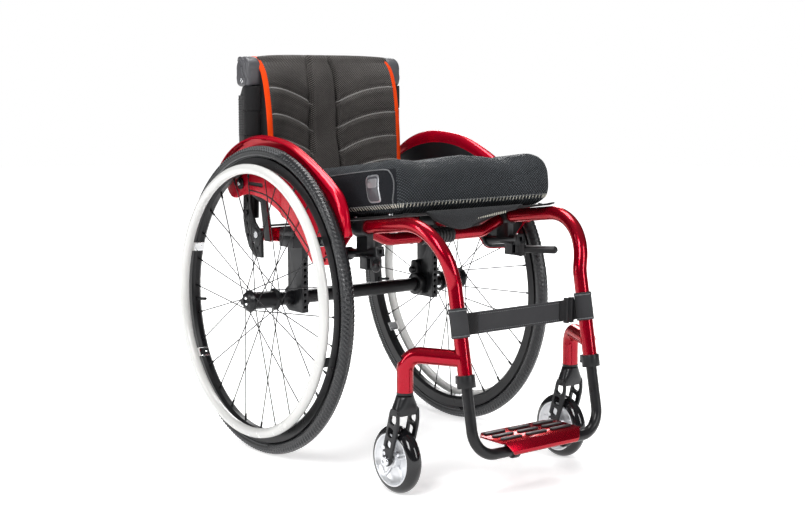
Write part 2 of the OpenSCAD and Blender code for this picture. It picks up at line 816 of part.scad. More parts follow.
module footplate() {
    half = 92;
    lip = 72;
    back = -460;
    front = -536;
    color("crimson") placed() {
        difference() {
            block([-half, front, plate_top - 3], [half, back, plate_top]);
            for (side = [-1, 1]) on_side(side) translate([half, back, 90]) rotate([0, 0, 45])
                cube([24, 24, 40], center = true);
        }
        // Rolled front lip, narrower towards its lower edge
        difference() {
            plate_x(-half + 6, half - 6) polygon([[front + 1, plate_top - 0.01], [front + 1, plate_top - 3],
                [1.5 - front_reach, plate_top - 17], [4 - front_reach, 84], [1.5 - front_reach, 82],
                [-front_reach, 84], [-front_reach, plate_top - 15], [front - 2, plate_top - 0.01]]);
            for (side = [-1, 1]) on_side(side) translate([lip, 0, 80]) rotate([0, 35, 0])
                block([0, -front_reach - 5, -20], [30, front + 0.5, 40]);
        }
    }
}

module footplate_pads() {
    color("gray") placed() for (y = [-476, -498, -520]) for (x = [-58, 0, 58])
        translate([x, y, plate_top]) {
            block([-19, -5, 0], [19, 5, 3]);
            for (e = [-19, 19]) translate([e, 0, 0]) cylinder(h = 3, r = 5);
        }
}

module footplate_clamps() {
    color("black") placed() for (x = [-66, 54]) difference() {
        union() {
            translate([0, foot_y, foot_z]) pin_x(x, x + 12, 27);
            block([x, foot_y - 7, foot_z], [x + 12, foot_y + 18, plate_top - 3]);
        }
        translate([0, foot_y, foot_z]) pin_x(x - 1, x + 13, foot_d + 0.1);
    }
}

// ---- one line for each node ----

side_frame(-1);  // side_frame_right
side_frame(1);  // side_frame_left
cross_tube();
cross_tube_grip();
castor_arm(-1);  // castor_arm_right
castor_arm(1);  // castor_arm_left
headset_bearings();
tube_collars();
axle_tube();
axle_receivers();
axle_stem(-1);  // axle_stem_right
axle_stem(1);  // axle_stem_left
axle_clamps();
quick_axles();
seat_sling();
sling_flap();
frame_fasteners();
cushion();
guard_holders();
side_guard(-1);  // side_guard_right
side_guard(1);  // side_guard_left
lock_mount(-1);  // lock_mount_right
lock_mount(1);  // lock_mount_left
lock_arm(-1);  // lock_arm_right
lock_arm(1);  // lock_arm_left
calf_strap();
strap_buckles();
back_bracket(-1);  // back_bracket_right
back_bracket(1);  // back_bracket_left
back_posts();
back_bar();
back_upholstery();
handle_heads();
push_handle(-1);  // push_handle_right
push_handle(1);  // push_handle_left
tyre(-1);  // tyre_right
tyre(1);  // tyre_left
rim(-1);  // rim_right
rim(1);  // rim_left
spokes(-1);  // spokes_right
spokes(1);  // spokes_left
hub(-1);  // hub_right
hub(1);  // hub_left
hub_bearings(-1);  // hub_bearings_right
hub_bearings(1);  // hub_bearings_left
handrim(-1);  // handrim_right
handrim(1);  // handrim_left
release_button(-1);  // release_button_right
release_button(1);  // release_button_left
castor_fork(-1);  // castor_fork_right
castor_fork(1);  // castor_fork_left
castor_tyre(-1);  // castor_tyre_right
castor_tyre(1);  // castor_tyre_left
castor_hub(-1);  // castor_hub_right
castor_hub(1);  // castor_hub_left
foot_tube();
footplate();
footplate_pads();
footplate_clamps();
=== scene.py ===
import json
import math

import bmesh
import bpy
import numpy as np
from mathutils import Matrix, Vector
from mathutils.bvhtree import BVHTree


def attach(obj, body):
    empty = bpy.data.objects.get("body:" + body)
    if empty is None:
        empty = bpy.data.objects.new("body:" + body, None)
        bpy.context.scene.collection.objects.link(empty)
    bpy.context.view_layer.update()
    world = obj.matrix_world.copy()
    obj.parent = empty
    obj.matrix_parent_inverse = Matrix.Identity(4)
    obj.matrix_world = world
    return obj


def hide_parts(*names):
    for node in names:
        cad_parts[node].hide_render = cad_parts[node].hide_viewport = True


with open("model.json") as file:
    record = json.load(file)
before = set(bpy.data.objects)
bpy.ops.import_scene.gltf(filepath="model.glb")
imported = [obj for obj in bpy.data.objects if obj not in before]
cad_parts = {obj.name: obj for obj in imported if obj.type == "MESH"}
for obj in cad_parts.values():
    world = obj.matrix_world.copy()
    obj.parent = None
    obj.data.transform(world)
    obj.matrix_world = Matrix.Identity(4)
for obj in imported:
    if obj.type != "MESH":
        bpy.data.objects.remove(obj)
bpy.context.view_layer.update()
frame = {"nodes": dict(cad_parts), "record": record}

NODES = frame["nodes"]
AXLE_Y = 0.1265
SIDES = (("right", -1), ("left", 1))

# ---------------------------------------------------------------- camera and light


def make_camera():
    data = bpy.data.cameras.new("camera")
    data.sensor_width = 36
    data.lens = 62.6
    data.clip_end = 60
    cam = bpy.data.objects.new("camera", data)
    bpy.context.scene.collection.objects.link(cam)
    az, el = math.radians(-37.62), math.radians(7.23)
    back = Vector((math.sin(az) * math.cos(el), -math.cos(az) * math.cos(el), math.sin(el)))
    right = Vector((0, 0, 1)).cross(back).normalized()
    up = back.cross(right)
    m = Matrix((right, up, back)).transposed().to_4x4()
    m.translation = Vector((-1.637, -2.2627 + AXLE_Y, 0.7181))
    cam.matrix_world = m
    bpy.context.scene.camera = cam


def area_light(name, place, target, size, power, colour=(1, 1, 1), size_y=None):
    data = bpy.data.lights.new(name, "AREA")
    data.shape = "RECTANGLE"
    data.size = size
    data.size_y = size_y or size
    data.energy = power
    data.color = colour
    lamp = bpy.data.objects.new(name, data)
    bpy.context.scene.collection.objects.link(lamp)
    lamp.location = place
    lamp.rotation_euler = (Vector(target) - Vector(place)).to_track_quat("-Z", "Y").to_euler()


def make_studio():
    scene = bpy.context.scene
    scene.view_settings.view_transform = "Standard"
    world = bpy.data.worlds.new("studio")
    scene.world = world
    world.use_nodes = True
    tree = world.node_tree
    # The backdrop is white; the light that it gives is a soft studio, brighter above and dark near the floor line
    back = tree.nodes["Background"]
    back.inputs["Color"].default_value = (1, 1, 1, 1)
    back.inputs["Strength"].default_value = 1.0
    coord = tree.nodes.new("ShaderNodeTexCoord")
    split = tree.nodes.new("ShaderNodeSeparateXYZ")
    ramp = tree.nodes.new("ShaderNodeValToRGB")
    ramp.color_ramp.elements[0].position = 0.0
    ramp.color_ramp.elements[0].color = (0.30, 0.30, 0.31, 1)
    ramp.color_ramp.elements[1].position = 0.9
    ramp.color_ramp.elements[1].color = (1, 1, 1, 1)
    mid = ramp.color_ramp.elements.new(0.30)
    mid.color = (0.16, 0.16, 0.17, 1)
    soft = tree.nodes.new("ShaderNodeBackground")
    soft.inputs["Strength"].default_value = 0.30
    path = tree.nodes.new("ShaderNodeLightPath")
    mix = tree.nodes.new("ShaderNodeMixShader")
    out = tree.nodes["World Output"]
    tree.links.new(coord.outputs["Generated"], split.inputs[0])
    tree.links.new(split.outputs[2], ramp.inputs[0])
    tree.links.new(ramp.outputs[0], soft.inputs["Color"])
    tree.links.new(path.outputs["Is Camera Ray"], mix.inputs[0])
    tree.links.new(soft.outputs[0], mix.inputs[1])
    tree.links.new(back.outputs[0], mix.inputs[2])
    tree.links.new(mix.outputs[0], out.inputs["Surface"])
    area_light("key", (-2.4, -1.6, 2.4), (0, 0, 0.35), 0.9, 74, size_y=1.6)
    area_light("front", (0.9, -3.2, 1.5), (0, 0, 0.35), 0.6, 38, size_y=1.8)
    area_light("side", (-3.0, 1.2, 1.3), (0, 0, 0.4), 0.5, 34, size_y=2.0)
    area_light("top", (0.3, 0.4, 2.8), (0, 0, 0), 1.2, 58)
    area_light("rim", (2.2, 2.4, 1.8), (0, 0, 0.4), 1.2, 40)
    mesh = bpy.data.meshes.new("floor")
    n, r = 96, 9.0
    ring = [(r * math.cos(t), r * math.sin(t), 0) for t in np.linspace(0, 2 * math.pi, n, endpoint=False)]
    mesh.from_pydata(ring, [], [list(range(n))])
    floor = bpy.data.objects.new("floor", mesh)
    scene.collection.objects.link(floor)
    m = bpy.data.materials.new("floor")
    m.use_nodes = True
    b = m.node_tree.nodes["Principled BSDF"]
    b.inputs["Base Color"].default_value = (0.85, 0.85, 0.85, 1)
    b.inputs["Roughness"].default_value = 1.0
    b.inputs["Specular IOR Level"].default_value = 0.0
    b.inputs["Emission Strength"].default_value = 1.0
    # The floor glows a little, more with distance, so that it fades into the backdrop
    coord = m.node_tree.nodes.new("ShaderNodeTexCoord")
    size = m.node_tree.nodes.new("ShaderNodeVectorMath")
    size.operation = "LENGTH"
    ramp = m.node_tree.nodes.new("ShaderNodeMapRange")
    for key, v in (("From Min", 0.8), ("From Max", 3.2), ("To Min", 0.50), ("To Max", 1.0)):
        ramp.inputs[key].default_value = v
    m.node_tree.links.new(coord.outputs["Object"], size.inputs[0])
    m.node_tree.links.new(size.outputs["Value"], ramp.inputs["Value"])
    m.node_tree.links.new(ramp.outputs[0], b.inputs["Emission Color"])
    mesh.materials.append(m)


make_camera()
make_studio()

# ---------------------------------------------------------------- materials


class Nodes:
    """A small helper for building one material's node tree."""

    def __init__(self, name):
        self.mat = bpy.data.materials.new(name)
        self.mat.use_nodes = True
        self.tree = self.mat.node_tree
        self.bsdf = self.tree.nodes["Principled BSDF"]
        self.coord = self.tree.nodes.new("ShaderNodeTexCoord").outputs["Object"]

    def new(self, kind, **settings):
        node = self.tree.nodes.new("ShaderNode" + kind)
        for key, value in settings.items():
            setattr(node, key, value)
        return node

    def put(self, socket, value):
        if isinstance(value, bpy.types.NodeSocket):
            self.tree.links.new(value, socket)
        else:
            socket.default_value = value

    def math(self, op, a, b=0.0, c=0.0, clamp=False):
        node = self.new("Math", operation=op, use_clamp=clamp)
        for i, v in enumerate((a, b, c)):
            self.put(node.inputs[i], v)
        return node.outputs[0]

    def noise(self, scale, detail=3.0, rough=0.5, vector=None):
        node = self.new("TexNoise")
        self.put(node.inputs["Vector"], vector or self.coord)
        self.put(node.inputs["Scale"], scale)
        self.put(node.inputs["Detail"], detail)
        self.put(node.inputs["Roughness"], rough)
        return node.outputs["Fac"]

    def voronoi(self, scale, feature="F1", vector=None):
        node = self.new("TexVoronoi", feature=feature)
        self.put(node.inputs["Vector"], vector or self.coord)
        self.put(node.inputs["Scale"], scale)
        return node.outputs["Distance"]

    def axes(self, vector=None):
        node = self.new("SeparateXYZ")
        self.put(node.inputs[0], vector or self.coord)
        return node.outputs[0], node.outputs[1], node.outputs[2]

    def vec(self, x, y, z=0.0):
        node = self.new("CombineXYZ")
        for i, v in enumerate((x, y, z)):
            self.put(node.inputs[i], v)
        return node.outputs[0]

    def span(self, value, low, high, a=0.0, b=1.0):
        node = self.new("MapRange")
        for key, v in (("Value", value), ("From Min", low), ("From Max", high), ("To Min", a), ("To Max", b)):
            self.put(node.inputs[key], v)
        return node.outputs[0]

    def mix(self, fac, a, b):
        node = self.new("Mix", data_type="RGBA")
        self.put(node.inputs["Factor"], fac)
        self.put(node.inputs[6], (*a, 1) if isinstance(a, tuple) else a)
        self.put(node.inputs[7], (*b, 1) if isinstance(b, tuple) else b)
        return node.outputs[2]

    def bump(self, height, distance, strength=1.0, normal=None):
        node = self.new("Bump")
        self.put(node.inputs["Height"], height)
        self.put(node.inputs["Distance"], distance)
        self.put(node.inputs["Strength"], strength)
        if normal is not None:
            self.put(node.inputs["Normal"], normal)
        self.put(self.bsdf.inputs["Normal"], node.outputs[0])
        return node.outputs[0]

    def set(self, **values):
        names = {"color": "Base Color", "rough": "Roughness", "metal": "Metallic", "coat": "Coat Weight",
                 "coat_rough": "Coat Roughness", "sheen": "Sheen Weight", "sheen_rough": "Sheen Roughness",
                 "spec": "Specular IOR Level", "alpha": "Alpha", "ior": "IOR", "trans": "Transmission Weight",
                 "sub": "Subsurface Weight", "tint": "Specular Tint"}
        for key, value in values.items():
            if key in ("color", "tint") and isinstance(value, tuple):
                value = (*value, 1)
            self.put(self.bsdf.inputs[names[key]], value)
        return self.mat


def shift(colour, k):
    return tuple(min(1.0, max(0.0, c * k)) for c in colour)


def candy_paint(name, colour, metal=0.7, coat=0.4):
    """Clear lacquer over translucent red over bright flake."""
    n = Nodes(name)
    flake = n.voronoi(2600)
    cloud = n.noise(5)
    body = n.mix(cloud, shift(colour, 0.82), shift(colour, 1.18))
    body = n.mix(n.span(flake, 0.1, 0.5, 0.0, 0.10), body, shift(colour, 1.4))
    n.bump(n.noise(90, 2), 0.00002, 0.10)
    return n.set(color=body, metal=metal, rough=n.span(n.noise(25), 0.3, 0.7, 0.21, 0.27), coat=coat,
            coat_rough=0.03,
                 tint=(1.0, 0.12, 0.16))


def satin(name, colour, rough=0.42, metal=0.0, grain=700, depth=0.00005, spread=0.2, coat=0.0, spec=0.5):
    """Powder coat, anodising or grained plastic, by its grain and gloss."""
    n = Nodes(name)
    body = n.mix(n.noise(14), shift(colour, 1 - spread), shift(colour, 1 + spread))
    n.bump(n.noise(grain, 4, 0.6), depth, 0.8)
    rough_map = n.span(n.noise(45), 0.3, 0.7, rough * 0.85, rough * 1.15)
    return n.set(color=body, metal=metal, rough=rough_map, coat=coat, spec=spec)


def bright_metal(name, colour=(0.75, 0.76, 0.78), rough=0.2, lines=900):
    n = Nodes(name)
    x, y, z = n.axes()
    brushed = n.noise(lines, 2, 0.5, n.vec(x, n.math("MULTIPLY", y, 0.2), n.math("MULTIPLY", z, 0.2)))
    n.bump(brushed, 0.00002, 0.3)
    tint = n.mix(n.noise(30), shift(colour, 0.9), shift(colour, 1.08))
    return n.set(color=tint, metal=1.0, rough=n.span(brushed, 0.3, 0.7, rough * 0.75, rough * 1.25))


def rubber(name, colour=(0.018, 0.018, 0.02), rough=0.5, grain=500, depth=0.00008, spec=0.5):
    n = Nodes(name)
    dust = n.noise(22, 5, 0.6)
    body = n.mix(dust, shift(colour, 0.8), shift(colour, 1.5))
    n.bump(n.noise(grain, 4, 0.65), depth, 0.7)
    return n.set(color=body, rough=n.span(dust, 0.3, 0.7, rough * 0.85, rough * 1.15), spec=spec)


def tread_rubber(name):
    """Tyre rubber with a fine diamond tread in the middle, its knob tops painted light grey as a painted
    highlight and its grooves painted near black as painted shade, and plain, slightly lighter sidewalls.
    """
    n = Nodes(name)
    x, y, z = n.axes()
    up = n.math("SUBTRACT", z, 0.2949)
    across = n.math("SUBTRACT", n.math("ADD", n.math("ABSOLUTE", x), n.math("MULTIPLY", up, 0.0262)), 0.2327)
    turn = n.math("ARCTAN2", up, y)
    lean = n.math("MULTIPLY", across, 2 * math.pi / 0.0052)
    spin = n.math("MULTIPLY", turn, 296.0)
    a = n.math("SINE", n.math("ADD", spin, lean))
    b = n.math("SINE", n.math("SUBTRACT", spin, lean))
    diamond = n.math("MULTIPLY", a, b)
    radius = n.math("SQRT", n.math("ADD", n.math("MULTIPLY", up, up), n.math("MULTIPLY", y, y)))
    tread = n.span(radius, 0.2868, 0.2885)
    knob = n.math("MULTIPLY", n.span(diamond, -0.15, 0.35), tread)
    dust = n.noise(26, 5, 0.6)
    wall = n.mix(dust, (0.010, 0.0105, 0.012), (0.022, 0.023, 0.025))
    # Painted shade and highlight: the tread band is painted near black between the knobs and light grey on the
    # knob tops
    body = n.mix(tread, wall, (0.003, 0.003, 0.0035))
    body = n.mix(knob, body, (0.13, 0.135, 0.14))
    lines = n.math("SINE", n.math("MULTIPLY", radius, 2 * math.pi / 0.0016))
    side_lines = n.math("MULTIPLY", n.math("SUBTRACT", 1.0, tread), n.math("MULTIPLY", lines, 0.15))
    n.bump(n.math("ADD", n.math("ADD", knob, side_lines), n.math("MULTIPLY", n.noise(600, 3), 0.2)), 0.0006,
            0.9)
    return n.set(color=body, rough=n.span(tread, 0, 1, 0.26, 0.5), spec=0.45)


M = {
    "red": candy_paint("candy_red", (0.30, 0.0, 0.011)),
    "black": satin("satin_black", (0.006, 0.006, 0.007), 0.32, spec=0.3),
    "anodised": satin("black_anodised", (0.012, 0.0125, 0.014), 0.32, metal=0.4, grain=1200),
    "grey": satin("grey_moulding", (0.055, 0.055, 0.061), 0.46, grain=1500, depth=0.00001, spread=0.08),
    "plastic": satin("black_moulding", (0.006, 0.006, 0.007), 0.4, grain=1100, spec=0.3),
    "guard": candy_paint("guard_red", (0.44, 0.0, 0.016), 0.4, 0.25),
    "white": satin("white_grip", (0.60, 0.60, 0.585), 0.24, grain=300, depth=0.00002, spread=0.03, coat=0.3),
    "silver": bright_metal("machined_silver", rough=0.22),
    "dish": satin("polished_dish", (0.70, 0.71, 0.73), 0.34, metal=0.7, grain=200, depth=0.000002,
            spread=0.03),
    "chrome": bright_metal("polished_silver", (0.86, 0.87, 0.88), 0.07),
    "rubber": rubber("moulded_rubber", (0.012, 0.012, 0.013), 0.5),
    "tyre": tread_rubber("tyre_rubber"),
    "castor": rubber("castor_rubber", (0.006, 0.006, 0.007), 0.12, depth=0.00001),
    "fabric": rubber("woven_black", (0.02, 0.02, 0.022), 0.9, 2500, 0.0002),
}


def mesh_cloth(name, dark, light, pitch, tall, axes="xz", depth=0.0005, fuzz=0.25, sheen=0.02):
    """Knitted spacer mesh: staggered holes between shiny yarns."""
    n = Nodes(name)
    x, y, z = n.axes()
    wob = n.math("MULTIPLY", n.math("SUBTRACT", n.noise(35), 0.5), pitch * 0.5)
    u = x if "x" in axes else y
    v = z if axes[1] == "z" else n.math("ADD", y, z)
    u = n.math("ADD", u, wob)
    cu = n.math("COSINE", n.math("MULTIPLY", u, 2 * math.pi / pitch))
    cv = n.math("COSINE", n.math("MULTIPLY", v, 2 * math.pi / tall))
    m = n.math("MULTIPLY", cu, cv)
    hole = n.span(m, -0.1, 0.7, 0.0, 1.0)
    fine = n.noise(1400, 2)
    cloud = n.span(n.noise(11, 3), 0.3, 0.7, 1 - fuzz, 1 + fuzz)
    body = n.mix(hole, dark, light)
    body = n.mix(n.span(fine, 0.35, 0.65, 0.0, 0.35), body, shift(light, 1.35))
    scaled = n.new("VectorMath", operation="SCALE")
    n.put(scaled.inputs[0], body)
    n.put(scaled.inputs["Scale"], cloud)
    n.bump(n.math("ADD", m, n.math("MULTIPLY", fine, 0.25)), depth, 0.9)
    return n.set(color=scaled.outputs[0], rough=n.span(hole, 0, 1, 0.8, 0.5), sheen=sheen, sheen_rough=0.45,
            spec=0.15)


def woven(name, dark, light, pitch=0.0013, depth=0.00018, rough=0.75, sheen=0.06):
    """Plain basket weave on any surface, from its place in space."""
    n = Nodes(name)
    x, y, z = n.axes()
    u = n.math("ADD", x, n.math("MULTIPLY", y, 0.73))
    v = n.math("ADD", z, n.math("MULTIPLY", y, 0.41))
    a = n.math("SINE", n.math("MULTIPLY", u, 2 * math.pi / pitch))
    b = n.math("SINE", n.math("MULTIPLY", v, 2 * math.pi / pitch))
    w = n.math("MULTIPLY", a, b)
    cloud = n.noise(18, 4)
    body = n.mix(n.span(w, -0.6, 0.6), dark, light)
    body = n.mix(n.span(cloud, 0.3, 0.75, 0.0, 0.5), body, shift(light, 1.3))
    n.bump(n.math("ADD", w, n.math("MULTIPLY", n.noise(120, 3), 1.5)), depth, 0.9)
    return n.set(color=body, rough=n.span(cloud, 0.3, 0.7, rough * 0.9, rough * 1.1), sheen=sheen,
            sheen_rough=0.5,
                 spec=0.15)


M.update({
    "mesh_back": mesh_cloth("mesh_back", (0.003, 0.0028, 0.0027), (0.115, 0.106, 0.100), 0.0042, 0.0042),
    "mesh_seat": mesh_cloth("mesh_seat", (0.001, 0.0012, 0.0016), (0.056, 0.063, 0.070), 0.0062, 0.0056, "xy",
            0.0012),
    "knit_side": mesh_cloth("knit_side", (0.0015, 0.0018, 0.003), (0.009, 0.0105, 0.014), 0.0026, 0.0026,
            "yz", 0.0002),
    "weave": woven("black_weave", (0.0035, 0.0035, 0.004), (0.014, 0.014, 0.015)),
    "flap": woven("flap_weave", (0.005, 0.0055, 0.006), (0.020, 0.0215, 0.024), rough=0.5, sheen=0.1),
    "orange": woven("orange_tape", (0.58, 0.034, 0.001), (0.78, 0.058, 0.002), 0.0016, 0.0002, 0.8, 0.0),
    "welt": woven("rib_cord", (0.10, 0.095, 0.09), (0.24, 0.23, 0.22), 0.0012, 0.0002, 0.6, 0.4),
    "thread": woven("light_thread", (0.28, 0.27, 0.23), (0.60, 0.58, 0.50), 0.0009, 0.0001, 0.6, 0.2),
    "seam": woven("seam_thread", (0.03, 0.032, 0.036), (0.14, 0.145, 0.15), 0.001, 0.0001, 0.6, 0.2),
    "badge": satin("badge_silver", (0.40, 0.41, 0.43), 0.3, metal=0.7, grain=900),
    "badge_inner": satin("badge_grey", (0.045, 0.045, 0.052), 0.4, grain=700),
})

LOOK = {
    "side_frame": "red", "cross_tube": "red", "cross_tube_grip": "rubber", "castor_arm": "red",
    "headset_bearings": "black", "tube_collars": "plastic", "axle_tube": "black", "axle_receivers": "anodised",
    "axle_stem": "anodised", "axle_clamps": "black", "quick_axles": "chrome", "seat_sling": "fabric",
    "sling_flap": "fabric", "frame_fasteners": "silver", "guard_holders": "plastic", "cushion": "fabric",
    "side_guard": "guard", "lock_mount": "anodised", "lock_arm": "black", "calf_strap": "fabric",
    "strap_buckles": "plastic", "back_bracket": "anodised", "back_posts": "black", "back_bar": "black",
    "back_upholstery": "fabric", "handle_heads": "grey", "push_handle": "rubber", "tyre": "tyre", "rim": "black",
    "spokes": "black", "hub": "black", "hub_bearings": "silver", "handrim": "white",
    "release_button": "plastic", "castor_fork": "anodised", "castor_tyre": "castor", "castor_hub": "chrome",
    "foot_tube": "black", "footplate": "red", "footplate_pads": "grey", "footplate_clamps": "plastic",
}
for node_name, obj in NODES.items():
    look = LOOK[node_name.replace("_right", "").replace("_left", "")]
    for s in obj.material_slots:
        s.material = M[look]

# ---------------------------------------------------------------- mesh helpers


def mm(x, y, z):
    """A point in millimetres, with y counted from the rear axle, as a place in metres."""
    return Vector((x, y + AXLE_Y * 1000, z)) / 1000


CAMBER = math.radians(1.5)
AXLE_Z = 282.5 * math.cos(CAMBER) + 12.5


def wheel_mm(side, x, y, z):
    """A point in a leaning rear wheel's own frame: x runs out along its axle."""
    c, s = math.cos(CAMBER), math.sin(CAMBER)
    return mm(side * (232.7 + x * c - z * s), y, AXLE_Z + x * s + z * c)


SEAT = math.atan(0.125)


def seat_mm(x, y, z):
    """A point in the sloping seat's frame."""
    c, s = math.cos(SEAT), math.sin(SEAT)
    return mm(x, y * c + z * s, 421 - y * s + z * c)


def shade(mesh, sharp=None):
    """Smooth shading; edges that turn by more than sharp degrees stay crisp."""
    mesh.polygons.foreach_set("use_smooth", [True] * len(mesh.polygons))
    if sharp:
        mesh.set_sharp_from_angle(angle=math.radians(sharp))


def piece(name, verts, faces, look, body, nodes=(), sharp=None, looks=None):
    """A mesh piece from points in metres, with its normals made consistent."""
    mesh = bpy.data.meshes.new(name)
    mesh.from_pydata([tuple(v) for v in verts], [], faces)
    bm = bmesh.new()
    bm.from_mesh(mesh)
    bmesh.ops.recalc_face_normals(bm, faces=bm.faces)
    bm.to_mesh(mesh)
    bm.free()
    for m in [look] + list(looks or []):
        mesh.materials.append(M[m])
    shade(mesh, sharp)
    obj = bpy.data.objects.new(name, mesh)
    bpy.context.scene.collection.objects.link(obj)
    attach(obj, body)
    if nodes:
        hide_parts(*nodes)
    return obj


def loft_faces(rings, count, around=True, along=False, caps=True, base=0):
    """Faces between rings of count points each."""
    faces = []
    for i in range(rings if along else rings - 1):
        a, b = base + i * count, base + (i + 1) % rings * count
        for j in range(count if around else count - 1):
            k = (j + 1) % count
            faces.append((a + j, a + k, b + k, b + j))
    if caps and not along and around:
        faces.append(tuple(base + j for j in range(count)))
        faces.append(tuple(base + (rings - 1) * count + j for j in reversed(range(count))))
    return faces


class Shape:
    """Collects parts of one piece."""

    def __init__(self):
        self.verts, self.faces, self.slots = [], [], []

    def loft(self, rings, around=True, along=False, caps=True, slot=0):
        base = len(self.verts)
        count = len(rings[0])
        for ring in rings:
            self.verts.extend(ring)
        new = loft_faces(len(rings), count, around, along, caps, base)
        self.faces.extend(new)
        self.slots.extend([slot] * len(new))
        return self

    def sweep(self, path, profile, up, closed=False, scale=None, caps=True, slot=0):
        """profile is a list of (across, out) in metres; up is a vector, or one for each point of the path."""
        path = [Vector(p) for p in path]
        n = len(path)
        rings = []
        for i, p in enumerate(path):
            a = path[i - 1] if i or closed else p
            b = path[(i + 1) % n] if i < n - 1 or closed else p
            t = (b - a).normalized()
            u = Vector(up[i] if isinstance(up, list) else up)
            u = (u - t * u.dot(t)).normalized()
            s = t.cross(u)
            k = scale[i] if scale else 1.0
            rings.append([p + s * (x * k) + u * (y * k) for x, y in profile])
        return self.loft(rings, True, closed, caps, slot)

    def make(self, name, look, body, slot, nodes=(), sharp=None, looks=None):
        obj = piece(name, self.verts, self.faces, look, body, nodes, sharp, looks)
        if looks:
            obj.data.polygons.foreach_set("material_index", self.slots)
        return obj


def oval(a, b, n=12, power=2.0):
    """Outline of an oval or, with a higher power, a soft rectangle, half as wide as a and b."""
    out = []
    for t in np.linspace(0, 2 * math.pi, n, endpoint=False):
        c, s = math.cos(t), math.sin(t)
        e = 2.0 / power
        out.append((a * abs(c) ** e * (1 if c >= 0 else -1), b * abs(s) ** e * (1 if s >= 0 else -1)))
    return out


def smooth_path(points, step):
    """Catmull-Rom line through the points."""
    pts = [Vector(p) for p in points]
    pts = [pts[0] * 2 - pts[1]] + pts + [pts[-1] * 2 - pts[-2]]
    out = []
    for i in range(1, len(pts) - 2):
        p0, p1, p2, p3 = pts[i - 1:i + 3]
        n = max(2, int((p2 - p1).length / step))
        for k in range(n):
            t = k / n
            out.append(0.5 * (2 * p1 + (p2 - p0) * t + (2 * p0 - 5 * p1 + 4 * p2 - p3) * t * t
                              + (3 * p1 - p0 - 3 * p2 + p3) * t ** 3))
    out.append(pts[-2])
    return out


def bevelled_plate(outline, x0, x1, place, r=1.5, steps=3):
    """Rings of a plate with rounded edges: outline is (y, z) and place makes a point of (x, y, z)."""
    pts = [Vector(p) for p in outline]
    area = sum(a.x * b.y - b.x * a.y for a, b in zip(pts, pts[1:] + pts[:1]))
    if area < 0:
        pts.reverse()
    n = len(pts)
    inward = []
    for i in range(n):
        e0 = (pts[i] - pts[i - 1]).normalized()
        e1 = (pts[(i + 1) % n] - pts[i]).normalized()
        m = Vector((-e0.y - e1.y, e0.x + e1.x))
        m = m / max(m.length_squared, 0.5) * 2
        inward.append(m)
    rings = [(x0 + r * (1 - math.cos(k / steps * math.pi / 2)), r * (1 - math.sin(k / steps * math.pi / 2)))
             for k in range(steps + 1)]
    rings += [(x0 + x1 - x, d) for x, d in reversed(rings)]
    return [[place(x, *(p + m * d)) for p, m in zip(pts, inward)] for x, d in rings]


def rounded(points, r, n=6):
    """Polygon with its corners rounded off."""
    out = []
    pts = [Vector(p) for p in points]
    for i, p in enumerate(pts):
        a, b = pts[i - 1], pts[(i + 1) % len(pts)]
        ri = min(r[i] if isinstance(r, (list, tuple)) else r, (a - p).length * 0.48, (b - p).length * 0.48)
        s, e = p + (a - p).normalized() * ri, p + (b - p).normalized() * ri
        for k in range(n + 1):
            t = k / n
            out.append(s * (1 - t) ** 2 + p * 2 * t * (1 - t) + e * t * t)
    return out


def curve_of(table):
    """Smooth function through (t, value) pairs."""
    ts, vs = np.array([a for a, b in table], float), np.array([b for a, b in table], float)
    m = np.gradient(vs, ts)

    def f(t):
        t = min(max(t, ts[0]), ts[-1])
        i = min(int(np.searchsorted(ts, t, side="right")) - 1, len(ts) - 2)
        h = ts[i + 1] - ts[i]
        u = (t - ts[i]) / h
        return float((2 * u ** 3 - 3 * u * u + 1) * vs[i] + (u ** 3 - 2 * u * u + u) * h * m[i]
                     + (3 * u * u - 2 * u ** 3) * vs[i + 1] + (u ** 3 - u * u) * h * m[i + 1])
    return f


# ---------------------------------------------------------------- back upholstery

edge_y = curve_of([(470, 77), (575, 79), (650, 85), (690, 92), (715, 99), (732, 107), (745, 118), (755, 133),
        (762, 150)])
mid_y = curve_of([(470, 112), (560, 119), (608, 127), (663, 127), (720, 134), (760, 148)])
BACK_X = 157.0


def back_depth(x, z):
    """y of the front of the back upholstery, before its ribs."""
    k = min(1.0, abs(x) / BACK_X) ** 2.2
    return mid_y(z) * (1 - k) + edge_y(z) * k


WELTS = [(27, 662, 150, 698), (27, 608, 149, 646), (30, 561, 149, 597), (31, 512, 149, 548)]


def welt_z(w, x):
    t = min(1.0, max(0.0, (x - w[0]) / (w[2] - w[0])))
    return w[1] + (w[3] - w[1]) * math.sin(t * math.pi / 2) ** 0.85


def back_relief(x, z):
    """How far the padding stands out at a point."""
    a = abs(x)
    half = 25.5 + (757 - z) * 0.022
    if z > 722:
        half -= 9.0 * ((z - 722) / 36.0) ** 2
    s = a - half
    band = 1 / (1 + math.exp(s / 1.4))
    valley = math.exp(-((s - 5.5) / 5.0) ** 2)
    rise = min(1.0, max(0.0, (s - 3) / 26.0))
    h = band * 6.5 - valley * 8.0 + (1 - band) * 3.5 * rise * (2 - rise)
    fade = min(1.0, max(0.0, s / 4.0)) * min(1.0, max(0.0, (153.0 - a) / 8.0))
    for w in WELTS:
        d = z - welt_z(w, a)
        if abs(d) < 30:
            h += fade * (-4.6 * math.exp(-((d - 4.0) / 4.2) ** 2) - 2.6 * math.exp(-((d - 12) / 9.0) ** 2)
                         + 2.6 * math.exp(-((d + 8) / 8.0) ** 2))
    h -= 2.2 * max(0.0, (a - 146.0) / 11.0) ** 2
    return h


